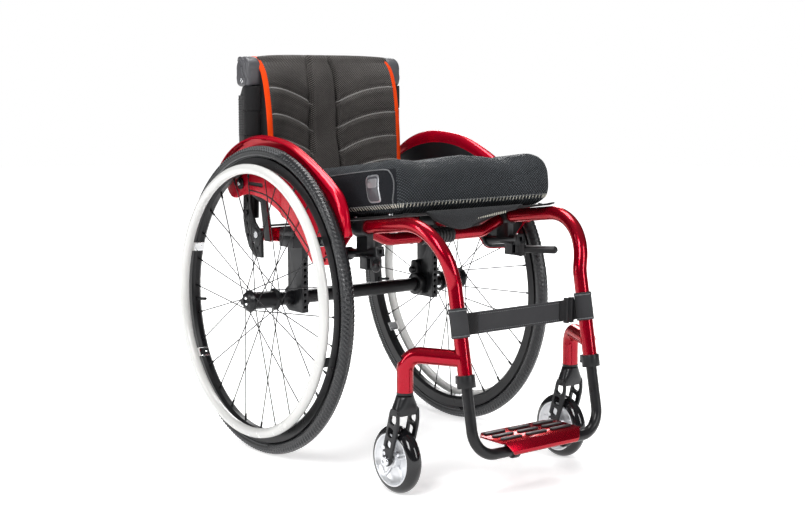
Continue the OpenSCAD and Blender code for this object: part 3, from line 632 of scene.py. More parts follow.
def make_back():
    # Closer columns beside the middle band, where the padding turns sharply
    half = list(np.arange(0, 20, 2.5)) + list(np.arange(20, 44, 0.8)) + list(np.linspace(44, BACK_X, 52))
    xs = [-x for x in reversed(half[1:])] + half
    zs = list(np.linspace(470, 749, 132))
    rings = []
    for x in xs:
        r = 3.0 + 7.0 * (1 - abs(x / BACK_X) ** 5)
        ring = [mm(x, back_depth(x, z) - back_relief(x, z), z) for z in zs]
        base = back_depth(x, 749) - back_relief(x, 749)
        for k in range(1, 9):
            t = math.pi * k / 9
            ring.append(mm(x, base + r * (1 - math.cos(t)) + 6 * math.sin(t / 2) ** 2,
                           749 + (10.5 + 4.5 * (1 - (x / BACK_X) ** 4)) * math.sin(t)))
        for z in reversed(zs[::6]):
            ring.append(mm(x, back_depth(x, z) + 2 * r + 1 + 4 * ((z - 470) / 279) ** 8, z))
        rings.append(ring)
    pad = Shape().loft(rings).make("back_pad", "mesh_back", "backrest", "mesh_fabric", ["back_upholstery"])
    # Light cords sewn along the top of each rib
    cords = Shape()
    for side in (-1, 1):
        for w in WELTS:
            path = []
            for x in np.linspace(w[0] + 1.0, 153, 46):
                z = welt_z(w, x)
                path.append(mm(side * x, back_depth(x, z) - back_relief(x, z) - 0.2, z))
            n = len(path)
            cords.sweep(path, oval(0.0016, 0.0017, 8), (0, -1, 0),
                        scale=[0.35 + 0.65 * min(1, i / 5, (n - 1 - i) / 3) for i in range(n)])
    cords.make("back_rib_cords", "welt", "backrest", "mesh_fabric")
    # Bright tape over both edges
    tape = Shape()
    for side in (-1, 1):
        path, up = [], []
        for z in np.linspace(472, 746, 60):
            path.append((side * 157.5, edge_y(z) + 1.5, z))
            up.append(Vector((side * 0.35, -1, 0.1)))
        top = edge_y(746) + 1.5
        for t, (dy, dz) in enumerate([(5, 4.5), (11, 8.6), (18, 10.8), (25, 11.2), (31, 9.0), (33.5, 4), (34,
                -5)]):
            path.append((side * (157.2 - t * 0.3), top + dy, 746 + dz))
            up.append(Vector((side * 0.35, -1, 0.2)).lerp(Vector((0, 0.3 * (t > 3), 1)), min(1, (t + 1) / 4)))
        path = [mm(*p) for p in path]
        tape.sweep(path, oval(0.0056, 0.0027, 14, 2.8), up)
    tape.make("back_edge_tape", "orange", "backrest", "mesh_fabric")
    # Straps behind, looped round the posts
    straps = Shape()
    for z in (677, 628.5, 580, 532):
        post_y = 131 + (z - 440) * (124 - 131) / 262
        half = 23.8 if z > 540 else 23.0
        path = []
        for side in (-1, 1):
            arc = []
            start, stop = (100, -128)
            for t in np.linspace(math.radians(start), math.radians(stop), 26):
                arc.append(mm(side * (171 + 17.2 * math.cos(t)), post_y + 17.2 * math.sin(t), z))
            inner = [mm(side * x, 152 + 4 * (1 - (x / 150) ** 2), z) for x in (60, 100, 135)]
            if side < 0:
                path = list(reversed(inner + arc)) + [mm(0, 156, z)]
            else:
                path += inner + arc
        ups = [Vector((0, 0, 1))] * len(path)
        profile = [(y, x) for x, y in oval(half / 1000, 0.0017, 28, 5.0)]
        straps.sweep(path, profile, ups)
    straps.make("back_straps", "weave", "backrest", "webbing")
    # Side flaps from the tape back to the posts
    flaps = Shape()
    for side in (-1, 1):
        rings = []
        for z in np.linspace(486, 738, 36):
            y0 = edge_y(z) + 4
            y1 = 131 + (z - 440) * (124 - 131) / 262 - 8.5 + 0.16 * max(0.0, z - 690)
            pts = [(154.5, y0), (155.5, (y0 + y1) / 2), (161, y1), (163, y1 - 0.6), (159.0,
                    y0 + (y1 - y0) * 0.4),
                   (157.5, y0)]
            rings.append([mm(side * x, y, z + 0.8 * math.sin(z / 9.0)) for x, y in pts])
        flaps.loft(rings)
    flaps.make("back_side_flaps", "weave", "backrest", "webbing", sharp=50)


# ---------------------------------------------------------------- cushion


def cushion_lift(x, y):
    """Contour of the cushion's top: hollows for the legs, a ridge between them and raised sides."""
    front = min(1.0, max(0.0, (-120 - y) / 180.0)) if y < 0 else 0.0
    f = 0.25 + 0.75 * front ** 0.8
    wave = math.cos(2 * math.pi * x / 182.0)
    return (4.2 * f * wave - 3.0 * f) - 7.0 * max(0.0, (abs(x) - 165) / 21.0) ** 2


def make_cushion():
    half = Vector((188.0, 208.0, 45.0))
    mid = Vector((0, -167.5, 64.5))
    r = 25.0
    nx, ny, nz = (30, 34, 9)
    bm = bmesh.new()
    keys = {}

    def vert(i, j, k):
        key = (i, j, k)
        if key not in keys:
            p = Vector((-half.x + 2 * half.x * i / nx, -half.y + 2 * half.y * j / ny,
                    -half.z + 2 * half.z * k / nz))
            inner = Vector([max(-(h - r), min(h - r, c)) for c, h in zip(p, half)])
            d = p - inner
            if d.length > 1e-9 and max(abs(d.x), abs(d.y), abs(d.z)) > 0:
                big = max(abs(d.x), abs(d.y), abs(d.z))
                p = inner + d.normalized() * big
            keys[key] = bm.verts.new(seat_mm(*(p + mid)))
        return keys[key]

    for i in range(nx):
        for j in range(ny):
            for k in (0, nz):
                bm.faces.new([vert(i, j, k), vert(i + 1, j, k), vert(i + 1, j + 1, k), vert(i, j + 1, k)])
    for i in range(nx):
        for k in range(nz):
            for j in (0, ny):
                bm.faces.new([vert(i, j, k), vert(i + 1, j, k), vert(i + 1, j, k + 1), vert(i, j, k + 1)])
    for j in range(ny):
        for k in range(nz):
            for i in (0, nx):
                bm.faces.new([vert(i, j, k), vert(i, j + 1, k), vert(i, j + 1, k + 1), vert(i, j, k + 1)])
    bmesh.ops.recalc_face_normals(bm, faces=bm.faces)
    mesh = bpy.data.meshes.new("cushion_body")
    bm.to_mesh(mesh)
    bm.free()
    obj = bpy.data.objects.new("cushion_body", mesh)
    bpy.context.scene.collection.objects.link(obj)
    for m in ("mesh_seat", "knit_side"):
        mesh.materials.append(M[m])
    swell(obj, 0.006, 0.007, pressure=3.5)
    # Local seat coordinates back from the swollen cover, for the contour and the flat base
    c, s = math.cos(SEAT), math.sin(SEAT)
    for v in obj.data.vertices:
        x, y, z = v.co.x * 1000, v.co.y * 1000 - AXLE_Y * 1000, v.co.z * 1000 - 421
        ly, lz = y * c - z * s, y * s + z * c
        # The sides pull in at the foot and behind, where the cushion passes the guards' blades
        k = min(1.0, max(0.0, (40.0 - lz) / 22.0))
        x *= 1 - 0.022 * k - 0.045 * min(1.0, max(0.0, (ly + 55) / 60.0)) * (abs(x) / 190.0)
        top = min(1.0, max(0.0, (lz - 64.0) / 36.0))
        lz += cushion_lift(x, ly) * top * top * (3 - 2 * top)
        sag = min(1.0, max(0.0, (ly + 60) / 110.0))
        lz -= 3.0 * sag * top
        x *= 1 + 0.02 * math.sin(min(1.0, max(0.0, (lz - 20) / 85.0)) * math.pi)
        lz = max(lz, 18.2)
        v.co = seat_mm(x, ly, lz)
    obj.data.polygons.foreach_set("use_smooth", [True] * len(obj.data.polygons))
    sub = obj.modifiers.new("sub", "SUBSURF")
    sub.levels = sub.render_levels = 1
    apply_modifiers(obj)
    for p in obj.data.polygons:
        lz = (p.center.y * 1000 - 126.5) * s + (p.center.z * 1000 - 421) * c
        if abs(p.normal.x) > 0.62 and lz < 98:
            p.material_index = 1
    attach(obj, "chair")
    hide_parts("cushion")
    return obj


def apply_modifiers(obj):
    dg = bpy.context.evaluated_depsgraph_get()
    new = bpy.data.meshes.new_from_object(obj.evaluated_get(dg))
    obj.modifiers.clear()
    obj.data = new


def swell(obj, voxel, cap, pressure=4.0, frames=20):
    """Remeshes a closed pad, blows it up as cloth, and keeps the result."""
    m = obj.modifiers.new("remesh", "REMESH")
    m.mode = "VOXEL"
    m.voxel_size = voxel
    apply_modifiers(obj)
    rest = [v.co.copy() for v in obj.data.vertices]
    cloth = obj.modifiers.new("cloth", "CLOTH")
    st = cloth.settings
    st.quality = 4
    st.mass = 0.3
    st.use_pressure = True
    st.uniform_pressure_force = pressure
    st.effector_weights.gravity = 0
    st.tension_stiffness = st.compression_stiffness = 12
    st.bending_stiffness = 0.4
    cloth.point_cache.frame_start = 1
    cloth.point_cache.frame_end = frames
    for f in range(1, frames + 1):
        bpy.context.scene.frame_set(f)
    apply_modifiers(obj)
    bpy.context.scene.frame_set(1)
    for v, a in zip(obj.data.vertices, rest):
        d = v.co - a
        if d.length > cap:
            v.co = a + d * (cap / d.length)


def make_cushion_trim(cushion):
    bm = bmesh.new()
    bm.from_mesh(cushion.data)
    tree = BVHTree.FromBMesh(bm)
    bm.free()

    def on_cover(x, y, z, dx, dy):
        """Point and normal of the cover, looking in from outside in the seat's frame."""
        start = seat_mm(x + dx * 120, y + dy * 120, z)
        aim = (seat_mm(x, y, z) - start).normalized()
        hit, normal, _, _ = tree.ray_cast(start, aim)
        return (hit, normal) if hit else (seat_mm(x, y, z), -aim)

    # Whipped seam round the bottom edge
    loop = []
    hx, hy, r, my = 188.0, 208.0, 26.0, -167.5
    corners = [(-1, 1), (-1, -1), (1, -1), (1, 1)]
    for cx, cy in corners:
        a0 = math.atan2(cy, cx)
        for t in np.linspace(-math.pi / 4, math.pi / 4, 12):
            a = a0 + t
            loop.append((cx * (hx - r) + r * math.cos(a), my + cy * (hy - r) + r * math.sin(a)))
    dense = []
    for i in range(len(loop)):
        a, b = Vector(loop[i]), Vector(loop[(i + 1) % len(loop)])
        n = max(1, int((b - a).length / 2.0))
        dense += [a.lerp(b, k / n) for k in range(n)]
    travelled, stitches, rnd = 0.0, Shape(), np.random.default_rng(5)
    zipper = []
    for i, p in enumerate(dense):
        q = dense[(i + 1) % len(dense)]
        out = Vector((q.y - p.y, -(q.x - p.x))).normalized()
        if out.dot(Vector((p.x, p.y - my))) < 0:
            out = -out
        zipper.append(on_cover(p.x, p.y, 36.0, out.x, out.y))
        travelled += (q - p).length
        if travelled >= 6.4:
            travelled = 0.0
            h, nrm = on_cover(p.x, p.y, 37.0, out.x, out.y)
            low, _ = on_cover(p.x, p.y, 29.8 + rnd.normal(0, 0.3), out.x, out.y)
            lift = nrm * 0.0005
            stitches.sweep([low + lift * 0.2, low.lerp(h, 0.3) + lift, low.lerp(h, 0.7) + lift,
                    h + lift * 0.2],
                           oval(0.0011 + rnd.normal(0, 0.00012), 0.0008, 6), nrm)
    stitches.make("cushion_whip_stitch", "thread", "chair", "seat_fabric")
    seam = Shape()
    pts = [p + n * 0.0004 for p, n in zipper[::3]]
    seam.sweep(pts, oval(0.0009, 0.0009, 6), [n for p, n in zipper[::3]], closed=True)
    # Seam that frames the side panels
    for side in (-1, 1):
        line = [(-354, 37), (-359, 56), (-360, 78), (-352, 92), (-332, 98), (-250, 99), (-150, 98), (-50, 96),
                (24, 94)]
        pts, ups = [], []
        for v in smooth_path([(y, z, 0) for y, z in line], 5):
            lift = cushion_lift(side * 175, v.x) * 0.8 * min(1, max(0, (v.y - 60) / 30))
            p, n = on_cover(side * 188, v.x, v.y + lift, side, 0)
            pts.append(p + n * 0.0003)
            ups.append(n)
        seam.sweep(pts, oval(0.0012, 0.0009, 6), ups)
    seam.make("cushion_seams", "seam", "chair", "seat_fabric")
    # Plain silver badge, on the right side panel only
    badge = Shape()
    side = -1
    for (hw, hh, lift, slot) in ((20.5, 24.5, 1.0, 0), (17.6, 21.6, 1.7, 1), (14.5, 8.0, 2.3, 0)):
        cz = 66.0 if hh > 10 else 75.5
        rings = []
        for k, (scale, out) in enumerate(((1.0, -0.6), (1.0, lift * 0.7), (0.965, lift), (0.0, lift))):
            ring = []
            for a, b in oval(hw * scale, hh * scale, 40, 5.0):
                p, n = on_cover(side * 188, -306.0 + a + (b * 0.1), cz + b, side, 0)
                ring.append(p + n * (out / 1000))
            rings.append(ring)
        badge.loft(rings, caps=False, slot=slot)
    badge.make("cushion_badge", "badge", "chair", "seat_fabric", looks=["badge_inner"], sharp=50)


# ---------------------------------------------------------------- sling and flap


def cloth_sheet(name, grid, thick, look, body, slot, nodes, sharp=None):
    """A thin closed sheet from a grid of middle points.
    """
    rows, cols = len(grid), len(grid[0])
    normals = []
    for i in range(rows):
        line = []
        for j in range(cols):
            a = grid[min(i + 1, rows - 1)][j] - grid[max(i - 1, 0)][j]
            b = grid[i][min(j + 1, cols - 1)] - grid[i][max(j - 1, 0)]
            line.append(a.cross(b).normalized())
        normals.append(line)
    rings = []
    for i in range(rows):
        front = [grid[i][j] + normals[i][j] * (thick / 2) for j in range(cols)]
        back = [grid[i][j] - normals[i][j] * (thick / 2) for j in reversed(range(cols))]
        rings.append(front + back)
    obj = Shape().loft(rings).make(name, look, body, slot, nodes, sharp=sharp)
    return obj


def make_sling():
    grid = []
    for y in np.linspace(-379, 84, 60):
        row = []
        tip = max(0.0, (-366 - y) / 13.0)
        for x in np.linspace(-177, 177, 73):
            a = abs(x)
            z = 15.6 - 1.6 * (1 - (x / 160) ** 2 if a < 160 else 0)
            z += 0.5 * math.sin(y / 23.0 + x / 60.0) * (a < 158)
            z += tip * 3.2 * max(0.0, (a - 120) / 61.0)
            row.append(seat_mm(x, y, z))
        grid.append(row)
    cloth_sheet("sling_cloth", grid, 0.0026, "weave", "chair", "seat_fabric", ["seat_sling"])
    # Doubled hems along the tubes
    hems = Shape()
    for side in (-1, 1):
        path = [seat_mm(side * 167, y, 17.3) for y in np.linspace(-377, 82, 60)]
        hems.sweep(path, oval(0.0098, 0.0009, 16, 4.0), seat_mm(0, 0, 1000) - seat_mm(0, 0, 0))
    for y in (-374, 78):
        path = [seat_mm(x, y,
                17.2 - 1.6 * (1 - (x / 160) ** 2 if abs(x) < 160 else 0)) for x in np.linspace(-175, 175, 50)]
        hems.sweep(path, oval(0.006, 0.0012, 12, 3.0), seat_mm(0, 0, 1000) - seat_mm(0, 0, 0))
    hems.make("sling_hems", "weave", "chair", "seat_fabric")


def make_flap():
    lower = curve_of([(-134, -1), (-120, -14), (-92, -27), (-62, -35), (-22, -30), (34, -13), (84, -5), (92,
            -2)])
    grid = []
    for t in np.linspace(0, 1, 22):
        row = []
        for x in np.linspace(-132, 90, 90):
            drop = lower(x)
            z = 17.4 + 2.5 + drop * t
            y = -383.2 - 3.4 * math.sin(t * math.pi) * min(1,
                    -drop / 20) - 1.2 * t + 0.8 * math.sin(x / 17.0 + 2 * t) * t
            row.append(seat_mm(x, y, z))
        grid.append(row)
    cloth_sheet("flap_cloth", grid, 0.0016, "flap", "chair", "seat_fabric", ["sling_flap"])
    trim = Shape()
    path = [seat_mm(x, -384.6 - 0.8 * math.sin(x / 17.0 + 2), 20 + lower(x) + 1.4) for x in np.linspace(-130,
            88, 80)]
    trim.sweep(path, oval(0.0022, 0.0011, 10, 3.0), (0, -1, 0))
    trim.make("flap_binding", "weave", "chair", "seat_fabric")
    strip = Shape()
    rnd = np.random.default_rng(9)
    for i in range(22):
        t = i / 21
        x = -46 + 92 * t
        z = -2.5 + 9.0 * t
        a = seat_mm(x, -387.4 + 0.9 * t, z)
        b = seat_mm(x + 1.2, -387.0 + 0.9 * t, z + 4.2)
        strip.sweep([a, a.lerp(b, 0.5) + Vector((0, -0.0004, 0)), b], oval(0.0010, 0.0007, 6), (0, -1, 0))
    strip.make("flap_zip", "thread", "chair", "seat_fabric")


make_back()
cushion = make_cushion()
make_cushion_trim(cushion)
make_sling()
make_flap()

# ---------------------------------------------------------------- softened copies of hard parts


def soften(node, look, width=0.9):
    """A copy of a CAD node with its sharp edges rounded over, standing for the node."""
    src = NODES[node]
    bm = bmesh.new()
    bm.from_mesh(src.data)
    bmesh.ops.remove_doubles(bm, verts=bm.verts, dist=1e-6)
    bmesh.ops.dissolve_limit(bm, angle_limit=math.radians(3), verts=bm.verts, edges=bm.edges)
    mesh = bpy.data.meshes.new(node + "_soft")
    bm.to_mesh(mesh)
    bm.free()
    mesh.materials.clear()
    mesh.materials.append(M[look])
    obj = bpy.data.objects.new(node + "_soft", mesh)
    bpy.context.scene.collection.objects.link(obj)
    bev = obj.modifiers.new("bevel", "BEVEL")
    bev.width = width / 1000
    bev.segments = 2
    bev.limit_method = "ANGLE"
    bev.angle_limit = math.radians(32)
    bev.miter_outer = "MITER_ARC"
    bev.use_clamp_overlap = True
    apply_modifiers(obj)
    obj.data.polygons.foreach_set("use_smooth", [True] * len(obj.data.polygons))
    obj.data.polygons.foreach_set("material_index", [0] * len(obj.data.polygons))
    obj.data.set_sharp_from_angle(angle=math.radians(38))
    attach(obj, BODY_OF[node])
    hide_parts(node)
    return obj


BODY_OF = {n: b for b, names in frame["record"]["behaviour"]["bodies"].items() for n in names}


def cut(obj, cutters):
    """Takes closed shapes out of a piece."""
    shape = Shape()
    for rings in cutters:
        shape.loft(rings)
    mesh = bpy.data.meshes.new("cutter")
    mesh.from_pydata([tuple(v) for v in shape.verts], [], shape.faces)
    bm = bmesh.new()
    bm.from_mesh(mesh)
    bmesh.ops.recalc_face_normals(bm, faces=bm.faces)
    bm.to_mesh(mesh)
    bm.free()
    tool = bpy.data.objects.new("cutter", mesh)
    bpy.context.scene.collection.objects.link(tool)
    mod = obj.modifiers.new("cut", "BOOLEAN")
    mod.operation = "DIFFERENCE"
    mod.solver = "EXACT"
    mod.object = tool
    apply_modifiers(obj)
    bpy.data.objects.remove(tool)
    bpy.data.meshes.remove(mesh)


# ---------------------------------------------------------------- side guards

ridge_r = curve_of([(50, 300), (57, 306), (63, 312), (72, 316), (82, 316), (94, 313), (104, 313), (114, 311),
                    (123, 313), (131, 319), (138, 324), (144, 319), (148, 309), (151, 299)])
GUARD_LOW = [(-203, 88), (-147, 83), (-124, 100), (-97, 122), (-65, 147), (-33, 167), (-4, 180), (29, 191),
        (63, 196),
             (89, 197), (110, 193), (130, 187), (150, 189), (164, 202), (166, 212), (158, 226)]


def make_guards():
    for word, side in SIDES:
        def at(x, y, z):
            return wheel_mm(side, x, y, z)

        # Wall: one plate with rounded edges, its lower edge a smooth sweep
        low = [(v.x, v.y) for v in smooth_path([(y, z, 0) for y, z in GUARD_LOW], 7)]
        arc = []
        for a in np.linspace(51, 151, 60):
            r = 297.5
            arc.append((r * math.cos(math.radians(a)), r * math.sin(math.radians(a))))
        outline = low + arc
        wall = Shape().loft(bevelled_plate(outline, -22.3, -19.3, at, 1.0, 2))
        wall = wall.make("guard_wall_" + word, "guard", "chair", "guard_paint", ["side_guard_" + word])
        holes = []

        def hole(y, z, r, n=14):
            ring = [(y + r * math.cos(t), z + r * math.sin(t)) for t in np.linspace(0, 2 * math.pi, n,
                    endpoint=False)]
            holes.append([[at(x, *p) for p in ring] for x in (-27, -15)])

        hole(113, 217, 3.8, 20)
        for y, z, r in ((-187, 121, 3.4), (-184, 108, 3.4), (-181, 95, 3.4)):
            hole(y, z, r)
        slot_line = rounded([(33, 213), (88, 215), (88, 222), (33, 221)], 3.4, 5)
        holes.append([[at(x, *p) for p in slot_line] for x in (-27, -15)])
        cut(wall, holes)
        shade(wall.data, 30)
        # Fender: a rolled lip that follows the tyre
        fender = Shape()
        rings = []
        for a in np.linspace(50.5, 151, 120):
            t = math.radians(a)
            R = ridge_r(a)
            w = min(1.0, max(0.15, (a - 50) / 7.0)) * min(1.0, max(0.15, (151.5 - a) / 9.0))
            front = min(1.0, max(0.0, (a - 116) / 14.0))
            reach = 10.0 * w
            pts = [(-22.6, 294.5), (-22.8, 300), (-22.0, 300 + (R - 300) * 0.45), (-19.2, R - 2.4), (-15.5,
                    R - 0.5),
                   (-12 - front, R), (-9, R - 1.4), (-7.6, R - 2.5), (-6.4, R - 2.6), (-12 + reach * 0.8,
                           R - 3.2),
                   (-12 + reach, R - 4.8 - front * 3), (-12 + reach * 1.02, R - 6.6 - front * 4),
                   (-12 + reach * 0.9, R - 7.4 - front * 4), (-8.5, R - 5.4), (-12, R - 3.2), (-16, R - 4.6),
                   (-19.0, min(R - 8, 304)), (-19.2, 300), (-19.2, 294.5)]
            pts = [(x, max(294.5, r)) for x, r in pts]
            rings.append([at(x, r * math.cos(t), r * math.sin(t)) for x, r in pts])
        fender.loft(rings).make("guard_fender_" + word, "guard", "chair", "guard_paint", sharp=48)
        # Dark inlaid lines, and a black sheet on the sitter's side of the wall that paints the shade and dark
        # reflection seen there
        lines = Shape()
        lower = smooth_path([(y, z, 0) for y, z in [(-146, 99), (-118, 118), (-79, 148), (-28, 181), (17,
                198),
                                                    (60, 204), (84, 205)]], 6)
        upper = smooth_path([(y, z, 0) for y, z in [(-156, 178), (-130, 196), (-99, 214), (-62, 230), (-30,
                240)]], 6)
        for path, size in ((lower, [1.0] * len(lower)),
                           (upper, [0.25 + 1.6 * math.sin(math.pi * (i + 1) / (len(upper) + 1)) ** 0.8
                                    for i in range(len(upper))])):
            pts = [at(-19.15, v.x, v.y) for v in path]
            lines.sweep(pts, oval(0.0015, 0.0004, 10, 3.0), at(1, 0, 0) - at(0, 0, 0), scale=size)
        lines.make("guard_lines_" + word, "plastic", "chair", "black_plastic")
        # Painted shade: a thin black plate over the wall's inner face stands for the shade and dark reflection
        # there
        inner = []
        for y, z in outline:
            a = math.atan2(z, y)
            r = math.hypot(y, z)
            k = (r - 7 if r > 290 else r + 6) / r
            inner.append((y * k, z * k))
        painted_shade_sheet = Shape().loft(bevelled_plate(inner, -24.0, -22.2, at, 0.6, 2))
        painted_shade_sheet.make("guard_lining_" + word, "plastic", "chair", "black_plastic", sharp=40)
        # Screw knob at the rear
        knob = Shape()
        for prof, slot_no in (([(-18.8, 0.01), (-18.8, 11.0), (-18.2, 11.8), (-16.6, 11.9), (-15.9, 11.2),
                (-15.6, 8.2),
                                (-14.2, 7.6), (-13.9, 0.01)], 0),
                              ([(-14.1, 0.01), (-14.1, 4.6), (-12.8, 4.4), (-12.5, 3.9), (-12.5, 2.2), (-13.3,
                                      2.0),
                                (-13.3, 0.01)], 1)):
            rings = []
            for t in np.linspace(0, 2 * math.pi, 36, endpoint=False):
                k = 1.0 + (0.03 * math.cos(9 * t) if slot_no == 0 else 0)
                rings.append([at(x, 113 + r * k * math.cos(t), 217 + r * k * math.sin(t)) for x, r in prof])
            knob.loft(rings, around=False, along=True, slot=slot_no)
        knob.make("guard_knob_" + word, "plastic", "chair", "black_plastic", looks=["silver"], sharp=35)


# ---------------------------------------------------------------- tyres


def make_tyres():
    pitch_count, per, across = 216, 4, 30
    for word, side in SIDES:
        rings = []
        for i in range(pitch_count * per):
            t = 2 * math.pi * i / (pitch_count * per)
            ring = []
            for j in range(across):
                phi = 2 * math.pi * j / across
                s = (phi if phi <= math.pi else phi - 2 * math.pi)
                arc = abs(s) * 12.3
                r = 12.3
                if arc < 15.5:
                    wave = math.sin(2 * math.pi * (i / per + arc / 9.0 + (0.5 if s < 0 else 0)))
                    block = 0.5 + 0.5 * max(-1.0, min(1.0, wave * 2.2))
                    rib = 1.0 if arc < 2.2 else block
                    if 2.2 < arc < 3.4:
                        rib *= 0.25
                    r += 0.25 - 1.05 * (1 - rib) * (1.0 if arc < 13 else 0.6)
                elif arc < 24:
                    r -= 0.25 if int(arc) % 3 else 0.0
                else:
                    r -= 0.6
                ring.append(wheel_mm(side, -r * math.sin(s), (282.6 + r * math.cos(s)) * math.cos(t),
                                     (282.6 + r * math.cos(s)) * math.sin(t)))
            rings.append(ring)
        Shape().loft(rings, along=True).make("tyre_tread_" + word, "tyre", "wheel_" + word, "tyre_rubber",
                                             ["tyre_" + word], sharp=28)
        # Bright brackets that hold the handrim
        tabs = Shape()
        for i in range(6):
            a = math.radians((math.floor((i * 28 + 5) / 6) + 1.5) * 360 / 28 - 90)

            def at(x, across_mm, r):
                y0, z0 = across_mm, r
                return wheel_mm(side, x, y0 * math.cos(a) - z0 * math.sin(a),
                        y0 * math.sin(a) + z0 * math.cos(a))
            path = [at(-4.4, 0, 248.3), at(2, 0, 248.2), at(9, 0, 248.3), at(15.5, 0, 248.8), at(19.6, 0,
                    249.8)]
            up = at(0, 0, 300) - at(0, 0, 200)
            tabs.sweep(smooth_path(path, 0.002), oval(0.0097, 0.0022, 18, 4.0), up)
            tabs.sweep([at(0, 0, 245.2), at(0, 0, 246.4)], oval(0.003, 0.003, 6), at(1, 0, 0) - at(0, 0, 0))
        tabs.make("handrim_brackets_" + word, "chrome", "wheel_" + word, "polished_steel", sharp=40)


# ---------------------------------------------------------------- handle heads


def make_heads():
    for word, side in SIDES:
        outline = [(136.8 + 24.2 * math.cos(t), 735 + 24.2 * math.sin(t)) for t in np.radians(np.linspace(-8,
                188, 34))]
        outline += [(112.6, 716), (114, 704), (119, 700), (153, 700), (159, 704), (160.8, 716)]
        outline = rounded(outline, 4, 2)
        plate = Shape().loft(bevelled_plate(outline, 156.5, 188.3, lambda x, y, z: mm(side * x, y, z), 7.0,
                6))
        head = plate.make("handle_head_" + word, "grey", "backrest", "grey_plastic",
                          ["handle_heads"] if side < 0 else (), sharp=50)
        # Slot that the handle's tongue turns in
        slot = [(115, 690), (170, 690), (170, 749), (133, 749), (133, 727), (115, 727)]
        cut(head, [[[mm(side * x, y, z) for y, z in slot] for x in (165.2, 178.8)]])
        shade(head.data, 50)
        shell = Shape()
        # S-shaped lip that wraps over the head
        line = [(156, 750), (150, 755), (141, 755), (132, 750), (127, 741), (126, 732), (122, 724), (117,
                717), (116, 708)]
        path = smooth_path([(y, z, 0) for y, z in line], 2.5)
        n = len(path)
        pts = [mm(side * (187.4 - 3.0 * max(0.0, 1 - i / 5.0, 1 - (n - 1 - i) / 5.0)), v.x, v.y) for i,
                v in enumerate(path)]
        shell.sweep(pts, oval(0.0042, 0.0030, 12), (side, 0, 0),
                    scale=[0.5 + 0.6 * math.sin(math.pi * i / (n - 1)) for i in range(n)])
        # Raised cheek round the bolt
        cheek = rounded([(121, 703), (152, 703), (156, 718), (151, 732), (144, 742), (136, 740), (132, 726),
                (123, 716)], 5, 4)
        shell.loft(bevelled_plate(cheek, 184, 190.0, lambda x, y, z: mm(side * x, y, z), 2.0, 3))
        shell.make("handle_head_fold_" + word, "grey", "backrest", "grey_plastic", sharp=50)
        bolt = Shape()
        prof = [(189.2, 5.9), (191.2, 5.8), (191.8, 5.2), (191.8, 3.2), (190.4, 2.9), (190.4, 0.01)]
        rings = []
        for t in np.linspace(0, 2 * math.pi, 24, endpoint=False):
            rings.append([mm(side * x, 134 + r * math.cos(t), 713 + r * math.sin(t)) for x, r in prof])
        bolt.loft(rings, around=False, along=True)
        bolt.make("handle_bolt_" + word, "chrome", "backrest", "polished_steel", sharp=35)
        # Ribbed grip of the push handle: rings moulded into the rubber
        grip = Shape()
        for k in range(15):
            z = 604 + k * 5.0
            rings = []
            for t in np.linspace(0, 2 * math.pi, 28, endpoint=False):
                ring = []
                for p in np.linspace(0, 2 * math.pi, 8, endpoint=False):
                    rr = 11.8 + 1.1 * math.cos(p)
                    ring.append(mm(side * 172 + rr * math.cos(t), 154 + rr * math.sin(t),
                            z + 1.6 * math.sin(p)))
                rings.append(ring)
            grip.loft(rings, along=True)
        grip.make("grip_rings_" + word, "rubber", "handle_" + word, "soft_rubber")


# ---------------------------------------------------------------- small details


def turned(profile, centre, side=1, n=32, wheel=False, slot=0, shape=None):
    """Adds a shape turned about an X axis through the centre; profile is (x, radius)."""
    shape = shape or Shape()
    rings = []
    for t in np.linspace(0, 2 * math.pi, n, endpoint=False):
        ring = []
        for x, r in profile:
            y, z = centre[1] + r * math.cos(t), centre[2] + r * math.sin(t)
            ring.append(wheel_mm(side, centre[0] + x, y, z) if wheel else mm(side * (centre[0] + x), y, z))
        rings.append(ring)
    shape.loft(rings, around=False, along=True, slot=slot)
    return shape


def make_details():
    for word, side in SIDES:
        # Hub end cap: a ribbed dome with the release button in it
        cap = Shape()
        turned([(31, 17.5), (33, 17.6), (35.5, 14.6), (36.6, 11.2), (37.4, 10.8), (37.4, 8.6), (36, 8.2)], (0,
                0, 0),
               side, 40, True, shape=cap)
        for k in range(10):
            a = k * math.pi / 5
            p = [wheel_mm(side, x, r * math.cos(a), r * math.sin(a)) for x, r in ((32.6, 17.4), (35.4, 14.4),
                    (36.8, 11.4))]
            cap.sweep(p, oval(0.0011, 0.0007, 6), p[1] - wheel_mm(side, 20, 0, 0))
        cap.make("hub_cap_" + word, "plastic", "wheel_" + word, "black_plastic", sharp=40)
        # Strap sleeve seams on the front tubes
        seams = Shape()
        for z in (287, 329):
            s = 0.1946
            c = (side * 147, -472.5 - s * (372 - z), z)
            ring = [mm(c[0] + 15.9 * math.cos(t), c[1] + 15.9 * math.sin(t), c[2] - 15.9 * math.sin(t) * s)
                    for t in np.linspace(0, 2 * math.pi, 40, endpoint=False)]
            seams.sweep(ring, oval(0.0009, 0.0007, 6), [(p - mm(*c)) for p in ring], closed=True)
        seams.make("strap_sleeve_seams_" + word, "seam", "chair", "webbing")
    # Stitch rows on the calf strap
    rows = Shape()
    for z in (287, 317):
        for x in np.arange(-126, 126, 5.0):
            if 108 < x < 134:
                continue
            rows.sweep([mm(x, -473.2, z), mm(x + 1.4, -473.45, z), mm(x + 2.8, -473.2, z)], oval(0.0005,
                    0.0004, 6), (0, -1, 0))
    rows.make("calf_strap_stitching", "seam", "chair", "webbing")
    # Reinforced loop ends of the strap
    ends = Shape()
    for side in (-1, 1):
        path = [mm(side * x, -474.0 - 0.6 * (x > 120), 302) for x in (96, 104, 112, 122, 129)]
        ends.sweep(path, [(b, a) for a, b in oval(0.0186, 0.0011, 20, 6.0)], (0, 0, 1))
    ends.make("calf_strap_ends", "weave", "chair", "webbing")


